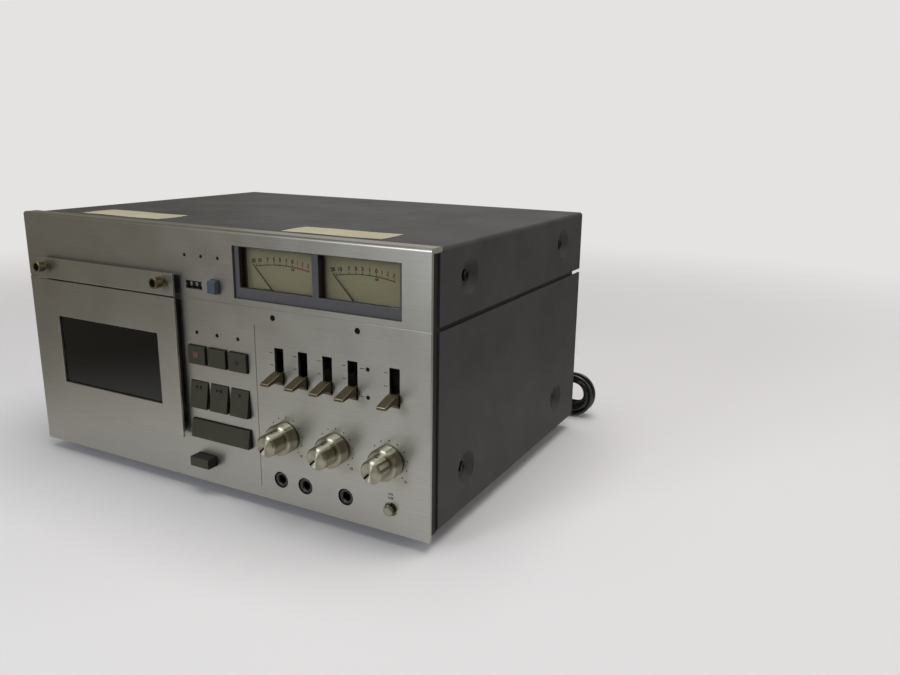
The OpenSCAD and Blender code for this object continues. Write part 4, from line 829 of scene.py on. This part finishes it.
# %% [markdown]
# The keys carry the usual tape symbols: double arrows for winding, one arrow for play, two bars for pause and
# a red patch for recording. The second row leans out towards its lower edge, so its arrows lean with it. One
# mesh couldn't follow all the keys, so each key has its own.

# %% Marks on the keys
ROW1_FACE = -2.7
ROW2_TOP = -1.0
ROW2_LOW = -4.5
ROW2_HEIGHT = 22.6
ARROW_RISE = 7.0
ARROW_R = 2.2
row2_lean = math.degrees(math.atan((ROW2_TOP - ROW2_LOW) / ROW2_HEIGHT))
row2_face = ROW2_TOP - (ROW2_TOP - ROW2_LOW) * (ROW2_HEIGHT / 2 - ARROW_RISE) / ROW2_HEIGHT

for key_name, arrow_places, turns in (
    ("rewind_key", (-2.3, 2.0), 1), ("forward_key", (-2.0, 2.3), -1), ("play_key", (0.0,), -1),
):
    key_x, key_z = middle(key_name)
    bm = bmesh.new()
    for dx in arrow_places:
        arrow_at = standing(key_x + dx, row2_face - INK_OUT, key_z + ARROW_RISE, row2_lean)
        add_arrow(bm, arrow_at, ARROW_R, turns)
    new_piece(key_name + "_mark", bm, key_name, "black_ink", "black_paint")

# Key, places of its bars, their rise, width and height, and their ink
for key_name, bar_places, rise, size, ink in (
    ("pause_key", (-1.1, 1.1), 0.0, (1.1, 4.0), ("black_ink", "black_paint")),
    ("record_key", (-1.0,), 0.5, (5.5, 5.0), ("key_red", "lamp_plastic")),
):
    key_x, key_z = middle(key_name)
    bm = bmesh.new()
    for dx in bar_places:
        add_bar(bm, standing(key_x + dx, ROW1_FACE - INK_OUT, key_z + rise), *size)
    new_piece(key_name + "_mark", bm, key_name, *ink)
print("arrows lean", round(row2_lean, 1), "degrees")

# %% [markdown]
# Round each knob pair runs a scale of eleven dots over 270 degrees, with 0 and 10 at its ends. The slot in
# the centre knob's face, painted black, points at it, and a grub screw shows on top; both ride on the knob.
# An Array modifier could repeat the dots, but a loop also places the numbers.

# %% Scales and pointers of the knobs
SCALE_R = 16.5
SCALE_END = 135
SCALE_DOT_R = 0.6
NUMBER_R = 20.5
NUMBER_H = 2.2
POINTER_DEEP = 1.0
POINTER_FROM = 1.7
POINTER_TO = 9.0
POINTER_W = 1.7
POINTER_TURN = math.radians(45)
GRUB_AHEAD = 5.3
GRUB_DEEP = 0.05
GRUB_R = 1.2


def on_ring(x, z, radius, degrees):
    """Stands a flat mark up on a ring round x, z on the panel; 0 degrees is at its top."""
    angle = math.radians(degrees)
    return standing(x + radius * math.sin(angle), -INK_OUT, z + radius * math.cos(angle))


bm = bmesh.new()
for number in KNOBS:
    knob_x, knob_z = middle(f"knob_ring_{number}")
    for step in range(11):
        add_dot(bm, on_ring(knob_x, knob_z, SCALE_R, -SCALE_END + step * SCALE_END / 5), SCALE_DOT_R)
    for words, side in (("0", -1), ("10", 1)):
        add_number(bm, on_ring(knob_x, knob_z, NUMBER_R, side * SCALE_END), words, NUMBER_H)
    low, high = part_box(f"knob_centre_{number}")
    face_y = (low.y - panel_low.y) / MM
    pointer = bmesh.new()
    reach = (POINTER_FROM + POINTER_TO) / 2 * math.sin(POINTER_TURN)
    slot_at = standing(knob_x - reach, face_y + POINTER_DEEP, knob_z - reach)
    add_bar(pointer, slot_at @ Matrix.Rotation(-POINTER_TURN, 4, "Z"), POINTER_W, POINTER_TO - POINTER_FROM)
    ring_front = (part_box(f"knob_ring_{number}")[0].y - panel_low.y) / MM
    centre_r = high.x / MM - knob_x
    grub_at = place(knob_x, ring_front - GRUB_AHEAD, knob_z + centre_r - GRUB_DEEP)
    add_dot(pointer, Matrix.Translation(grub_at), GRUB_R)
    new_piece(f"pointer_{number}", pointer, f"knob_centre_{number}", "black_ink", "black_paint")
new_piece("knob_scales", bm, "deck", "black_ink", "black_paint")
print("scales of", 2 * SCALE_END, "degrees round", len(KNOBS), "knob pairs")

# %% [markdown]
# The lever switches have short ticks at their settings, and thin lines join the fourth lever to the lamps
# beside it. The power button has ON and OFF. All of it lies on the fixed panel, so it is one piece.

# %% Ticks and words on the panel
LEVER_Z = 120.5
LEVER_X = (81.5, 105.5, 129.5, 153.5, 191.5)
SIDE_LAMP_X = 167.5
SIDE_LAMP_Z = (131.5, 109.0)
TICK_W = 3.2
TICK_H = 0.55
TICK_LEFT = 8.0
TICK_RISES = (11.0, 0.5, -11.0)
LINE_W = 4.5
LINE_LEFT = 5.0
WORD_H = 2.0
bm = bmesh.new()
for lever_x in LEVER_X:
    for rise in TICK_RISES:
        add_bar(bm, standing(lever_x - TICK_LEFT, -INK_OUT, LEVER_Z + rise), TICK_W, TICK_H)
for lamp_z in SIDE_LAMP_Z:
    add_bar(bm, standing(SIDE_LAMP_X - LINE_LEFT, -INK_OUT, lamp_z), LINE_W, TICK_H)
power_x, power_z = middle("power_button")
for words, rise in (("ON", 12.6), ("OFF", 9.2)):
    add_number(bm, standing(power_x, -INK_OUT, power_z + rise), words, WORD_H)
new_piece("switch_ticks", bm, "deck", "black_ink", "black_paint")
print("ticks at", len(LEVER_X), "levers")

# %% [markdown]
# Each dial has a flat arc with ticks and plain numbers above it, a red stretch from zero upwards, and a small
# 100 for full level under its zero. A bent curve could draw the arc; a small square spun round a far centre
# keeps its line at one width.

# %% Dial prints
DIAL_X = (78.75, 158.25)
DIAL_FACE = 12.7
PRINT_OUT = 0.05
ARC_R = 135.0
ARC_TOP = 201.5
ARC_HALF = 27.0
ARC_LINE = 0.6
RED_LINE = 1.0
DIAL_TICK = (0.6, 2.0)
DIAL_TICK_RISE = 1.0
DIAL_NUMBER_H = 3.0
DIAL_NUMBER_RISE = 4.2
DIAL_BOLD = 0.06
PERCENT_H = 1.8
PERCENT_DROP = 2.2
PERCENT_BOLD = 0.05
ZERO_AT = 10.0
dial_numbers = [("20", -30), ("10", -23.5), ("7", -15), ("5", -8.5), ("3", -2.5), ("1", 4), ("0", ZERO_AT),
                ("1", 15), ("2", 20), ("3", 25.5)]


def arc_height(offset):
    """Height of the arc at a distance from the dial's middle."""
    return ARC_TOP - ARC_R + math.sqrt(ARC_R ** 2 - offset ** 2)


def add_arc(bm, middle_x, start, end, width):
    """A stretch of the arc between two distances from the dial's middle."""
    centre = place(middle_x, DIAL_FACE, ARC_TOP - ARC_R)
    turn = math.asin(end / ARC_R) - math.asin(start / ARC_R)
    square = bmesh.ops.create_grid(
        bm, x_segments=1, y_segments=1, size=0.5,
        matrix=Matrix.Translation(centre) @ Matrix.Rotation(math.asin(start / ARC_R), 4, "Y")
        @ Matrix.Translation((0, -PRINT_OUT * MM, ARC_R * MM)) @ Matrix.Rotation(math.pi / 2, 4, "Y")
        @ Matrix.Diagonal((width * MM, INK_T * MM, 1, 1)))
    section = [square["verts"][0].link_faces[0]]
    bmesh.ops.spin(bm, geom=section, cent=centre, axis=(0, 1, 0), angle=turn, steps=16)


black = bmesh.new()
red = bmesh.new()
for dial_x in DIAL_X:
    add_arc(black, dial_x, -ARC_HALF, ZERO_AT, ARC_LINE)
    add_arc(red, dial_x, ZERO_AT, ARC_HALF, RED_LINE)
    for words, offset in dial_numbers:
        ink = red if offset > ZERO_AT else black
        reach = max(-ARC_HALF, min(ARC_HALF, offset))
        fan = offset / ARC_R
        tick = standing(dial_x + reach, DIAL_FACE - PRINT_OUT, arc_height(reach) + DIAL_TICK_RISE)
        add_bar(ink, tick @ Matrix.Rotation(-fan, 4, "Z"), *DIAL_TICK)
        number = standing(dial_x + offset, DIAL_FACE - PRINT_OUT, arc_height(reach) + DIAL_NUMBER_RISE)
        add_number(ink, number @ Matrix.Rotation(-fan, 4, "Z"), words, DIAL_NUMBER_H, DIAL_BOLD)
    percent = standing(dial_x + ZERO_AT, DIAL_FACE - PRINT_OUT, arc_height(ZERO_AT) - PERCENT_DROP)
    add_number(black, percent, "100", PERCENT_H, PERCENT_BOLD)
for ink, finish_name in ((black, "black_ink"), (red, "red_ink")):
    bmesh.ops.recalc_face_normals(ink, faces=ink.faces)
    new_piece("dial_print_" + finish_name, ink, "deck", finish_name, "dial_card")
print(len(dial_numbers), "numbers on each dial")

# %% [markdown]
# The counter's wheels carry white numbers 0 to 9, a tenth of a turn apart. Only a few show at a time, but all
# are made and ride on the wheels, so that the right ones come up when these turn.

# %% Numbers on the counter wheels
WHEEL_X = (-13.42, -7.25, -1.08)
WHEEL_Y = 11.4
WHEEL_Z = 179.0
WHEEL_R = 8.0
WHEEL_NUMBER_H = 2.9
for group, wheel_places in (("counter_wheels_upper", WHEEL_X[:2]), ("counter_wheel_ones", WHEEL_X[2:])):
    bm = bmesh.new()
    for wheel_x in wheel_places:
        for digit in range(10):
            turned = (Matrix.Translation(place(wheel_x, WHEEL_Y, WHEEL_Z))
                      @ Matrix.Rotation(digit * math.pi / 5, 4, "X")
                      @ Matrix.Translation((0, -WHEEL_R * MM, 0)) @ Matrix.Rotation(math.pi / 2, 4, "X"))
            add_number(bm, turned, str(digit), WHEEL_NUMBER_H)
    new_piece(group + "_numbers", bm, group, "white_ink", "dial_card")
print("numbers on", len(WHEEL_X), "wheels")

# %% [markdown]
# Thumbscrews and the power button have a knurled grip. A bump could fake it, but its teeth show against the
# light. A profile is spun round the screw's axis, and then every second row of points on the grip is drawn in
# towards the axis, which leaves straight teeth.

# %% Knurled pieces
ON_GRIP = 0.02


def add_spun(bm, x, z, profile, steps):
    """Spins a profile of (radius, y) points, in millimetres, round the line along y through x, z."""
    centre = place(x, 0, z)
    verts = [bm.verts.new(centre + Vector((radius * MM, y * MM, 0))) for radius, y in profile]
    edges = [bm.edges.new(pair) for pair in zip(verts, verts[1:])]
    bmesh.ops.spin(bm, geom=verts + edges, cent=centre, axis=(0, 1, 0), angle=2 * math.pi, steps=steps,
                   use_merge=True)
    bmesh.ops.remove_doubles(bm, verts=bm.verts, dist=WELD * MM)
    bmesh.ops.recalc_face_normals(bm, faces=bm.faces)
    return centre


def knurled(node_name, profile, grip_r, teeth, tooth_mm):
    """A spun piece with straight teeth where its radius is that of the grip."""
    x, z = middle(node_name)
    bm = bmesh.new()
    centre = add_spun(bm, x, z, profile, 2 * teeth)
    for vert in bm.verts:
        arm = Vector((vert.co.x - centre.x, 0, vert.co.z - centre.z))
        column = round(math.atan2(arm.z, arm.x) / math.pi * teeth)
        if abs(arm.length - grip_r * MM) < ON_GRIP * MM and column % 2:
            vert.co -= arm.normalized() * tooth_mm * MM
    piece = new_piece(node_name + "_knurled", bm, node_name, slots[node_name], slots[node_name])
    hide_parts(node_name)


THUMB_FRONT = -17.05
THUMB_BACK = -7.05
for side in ("left", "right"):
    knurled("thumbscrew_" + side, [
        (0, THUMB_FRONT + 4), (2.9, THUMB_FRONT + 4), (3.4, THUMB_FRONT), (4.4, THUMB_FRONT),
        (4.8, THUMB_FRONT + 0.3), (5, THUMB_FRONT + 0.8), (5, THUMB_BACK - 2.8), (4.7, THUMB_BACK - 2.4),
        (3.8, THUMB_BACK - 2.2), (3.8, THUMB_BACK), (2, THUMB_BACK), (2, 6), (0, 6),
    ], grip_r=5, teeth=26, tooth_mm=0.35)
knurled("power_button", [
    (0, -5.5), (3.1, -5.5), (3.7, -5.3), (4.1, -4.9), (4.25, -4.4), (4.25, -0.5), (4.0, -0.2), (4.0, 3.15),
    (6.75, 3.15), (6.75, 4.65), (3, 4.65), (3, 16), (0, 16),
], grip_r=4.25, teeth=22, tooth_mm=0.3)
print("three knurled pieces")

# %% [markdown]
# At the bottom of each dish sits a cross-recessed screw. A cylinder with a Boolean cross would do, but leaves
# long thin faces. The head starts as a small grid: its points are moved onto circles, the plus-shaped
# faces in the middle are pushed in, and the rim is drawn down to the dish.

# %% Cover screws
HEAD_R = 4.5
HEAD_H = 2.2
HEAD_DOME = 0.5
RECESS_R = 2.6
RECESS_DEEP = 1.2
CELLS = 7
DISH_DEEP = 5.0
SCREW_Y = (61, 265)
SCREW_Z = (40, 200)
# Radians for each millimetre of height, so that the recesses stand at different angles
SCREW_TURN = 0.3
dish_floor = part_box("bottom_cover")[1].x / MM - DISH_DEEP


def add_screw(bm, at):
    """A round head with a cross recess, on the XY plane of the matrix and facing its Z."""
    verts = bmesh.ops.create_grid(bm, x_segments=CELLS, y_segments=CELLS, size=HEAD_R * MM)["verts"]
    faces = list(dict.fromkeys(face for vert in verts for face in vert.link_faces))
    rim = list(dict.fromkeys(edge for vert in verts for edge in vert.link_edges if edge.is_boundary))
    arm = HEAD_R * MM / CELLS
    cross = [face for face in faces
             if min(abs(face.calc_center_median().x), abs(face.calc_center_median().y)) < arm
             and face.calc_center_median().length < RECESS_R * MM]
    for vert in verts:
        reach = max(abs(vert.co.x), abs(vert.co.y))
        vert.co *= reach / max(vert.co.length, 1e-9)
        vert.co.z = (HEAD_H - HEAD_DOME * (reach / (HEAD_R * MM)) ** 4) * MM
    sunk = new_verts(bmesh.ops.extrude_face_region(bm, geom=cross)["geom"])
    bmesh.ops.delete(bm, geom=cross, context="FACES_ONLY")
    bmesh.ops.translate(bm, vec=(0, 0, -RECESS_DEEP * MM), verts=sunk)
    skirt = new_verts(bmesh.ops.extrude_edge_only(bm, edges=rim)["geom"])
    for vert in skirt:
        vert.co.z = 0
    bmesh.ops.transform(bm, verts=list(set(verts + sunk + skirt)), matrix=at)


bm = bmesh.new()
for side in (-1, 1):
    for screw_y in SCREW_Y:
        for screw_z in SCREW_Z:
            add_screw(bm, Matrix.Translation(place(side * dish_floor, screw_y, screw_z))
                      @ Matrix.Rotation(side * math.pi / 2, 4, "Y")
                      @ Matrix.Rotation(SCREW_TURN * screw_z, 4, "Z"))
bmesh.ops.recalc_face_normals(bm, faces=bm.faces)
cover_screws = new_piece("cover_screw_heads", bm, "deck", slots["cover_screws"], slots["cover_screws"])
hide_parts("cover_screws")
print("screws", len(cover_screws.data.polygons), "faces")

# %% [markdown]
# Each front jack is held by a round nut of dark nickel with a rounded rim. Spinning its section makes rim and
# bore at once, where bevelling a tube would take several steps.

# %% Jack nuts
JACK_X = (78.5, 104.0, 144.5)
JACK_Z = 20.5
bm = bmesh.new()
for jack_x in JACK_X:
    add_spun(bm, jack_x, JACK_Z, [
        (3.4, 3.0), (3.4, 1.6), (4.3, 1.0), (4.6, 0.8), (5.8, 0.8), (6.3, 1.0), (6.5, 1.5), (6.5, 3.0),
        (3.4, 3.0),
    ], 48)
for face in bm.faces:
    face.smooth = True
nuts = new_piece("jack_nuts", bm, "deck", "dark_nickel", "socket_metal")
nuts.modifiers.new("flat_faces", "WEIGHTED_NORMAL")
print("jack nuts", len(nuts.data.polygons), "faces")

# %% [markdown]
# Two strips of old paper stick to the top. A patch in the paint would look printed on, so they are thin
# sheets with a slight wave, whose edges lift here and there.

# %% Paper strips
COVER_TOP = 227.0
PAPER_T = 0.12
PAPER_OUT = 0.2
WAVE = 0.15
# Radians for each metre along and across a strip
WAVE_ALONG = 90
WAVE_ACROSS = 140
for strip_name, x0, x1, y0, y1, turn in (
    ("paper_strip_left", -175, -75, 28, 65, 0.0), ("paper_strip_right", 67, 163, 26, 60, 0.02),
):
    bm = bmesh.new()
    bmesh.ops.create_grid(bm, x_segments=24, y_segments=6, size=0.5, matrix=Matrix.Diagonal(
        ((x1 - x0) * MM, (y1 - y0) * MM, 1, 1)))
    for vert in bm.verts:
        wave = math.sin(WAVE_ALONG * vert.co.x) * math.cos(WAVE_ACROSS * vert.co.y)
        vert.co.z = WAVE * MM * (1 + wave)
    bmesh.ops.solidify(bm, geom=bm.faces[:], thickness=PAPER_T * MM)
    bmesh.ops.transform(bm, verts=bm.verts, matrix=Matrix.Translation(
        place((x0 + x1) / 2, (y0 + y1) / 2, COVER_TOP + PAPER_OUT)) @ Matrix.Rotation(turn, 4, "Z"))
    bmesh.ops.recalc_face_normals(bm, faces=bm.faces)
    new_piece(strip_name, bm, "deck", "old_paper", "dial_card")
print("two paper strips")

# %% [markdown]
# On the rear wall four line sockets stand on a black board. Each has a plated collar, and a coloured ring of
# insulation with the pin's hole in it: red for the right channel, white for the left. Both are spun from
# their sections, as the nuts are.

# %% Line sockets
LINE_X = -40.0
LINE_Z = 60.0
LINE_PITCH = 20.0
LINE_REACH = 9.0
line_back = (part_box("line_sockets")[1].y - panel_low.y) / MM
board_face = line_back - LINE_REACH
for colour, dz in (("red", -LINE_PITCH / 2), ("white", LINE_PITCH / 2)):
    rings = bmesh.new()
    collars = bmesh.new()
    for dx in (-LINE_PITCH / 2, LINE_PITCH / 2):
        add_spun(rings, LINE_X + dx, LINE_Z + dz, [
            (1.6, line_back + 0.25), (3.0, line_back + 0.25), (3.2, line_back), (1.6, line_back),
            (1.6, line_back + 0.25),
        ], 32)
        add_spun(collars, LINE_X + dx, LINE_Z + dz, [
            (4.2, board_face), (6.5, board_face), (6.5, board_face + 0.6), (4.4, board_face + 0.8),
            (4.4, line_back + 0.1), (4.1, line_back + 0.3), (3.3, line_back + 0.3), (3.3, line_back),
            (4.2, line_back), (4.2, board_face),
        ], 40)
    new_piece("line_insulators_" + colour, rings, "deck", colour + "_insulator", "black_plastic")
    new_piece("line_collars_" + colour, collars, "deck", "socket_metal", "socket_metal")
print("line sockets stand", LINE_REACH, "mm out")

# %% [markdown]
# The plug is a moulded body with two plated blades. Body and blades are one solid, so its copy gets rounded
# edges, and the faces of the blades take the metal as a second material.

# %% Plug
PLUG_EDGE = 0.8
PLUG_L = 30.0
blade_root = (PLUG_END - PLUG_L - 0.1) * MM
plug = eased("mains_plug", PLUG_EDGE, 3)
plug.data.materials.append(finishes["socket_metal"])
blades = [polygon for polygon in plug.data.polygons if polygon.center.x < blade_root]
for polygon in blades:
    polygon.material_index = 1
print(len(blades), "faces on the blades")

# %% [markdown]
# A flat band ties the hank at its waist. A curve with a flat bevel could make it; a box without its ends,
# rounded and given a wall, fits the hank's sizes directly.

# %% Tie of the hank
TIE_W = 5.0
TIE_T = 0.8
TIE_ROUND = 3.0
TIE_GAP_Y = 0.4
TIE_GAP_Z = 1.2
bm = bmesh.new()
tie_y = HANK_Y + (HANK_LAYERS - 1) * HANK_STEP / 2
tie_half = (HANK_LAYERS - 1) * HANK_STEP / 2 + CORD_D / 2 + TIE_GAP_Y
tie_reach = HANK_OUT_R - HANK_WAIST + CORD_D / 2 + TIE_GAP_Z
tie_size = Matrix.Diagonal((TIE_W * MM, 2 * tie_half * MM, 2 * tie_reach * MM, 1))
tie_at = Matrix.Translation(on_floor(HANK_X, tie_y, HANK_H))
bmesh.ops.create_cube(bm, size=1, matrix=tie_at @ tie_size)
ends = [face for face in bm.faces if abs(face.normal.x) > 0.9]
bmesh.ops.delete(bm, geom=ends, context="FACES_ONLY")
corners = [edge for edge in bm.edges if not edge.is_boundary]
bmesh.ops.bevel(bm, geom=corners, offset=TIE_ROUND * MM, offset_type="OFFSET", segments=6, profile=0.5,
                affect="EDGES", material=-1)
bmesh.ops.recalc_face_normals(bm, faces=bm.faces)
bmesh.ops.solidify(bm, geom=bm.faces[:], thickness=-TIE_T * MM)
tie = new_piece("hank_tie", bm, "deck", "black_plastic", "cord_rubber")
print("tie", round(2 * tie_reach, 1), "mm high")
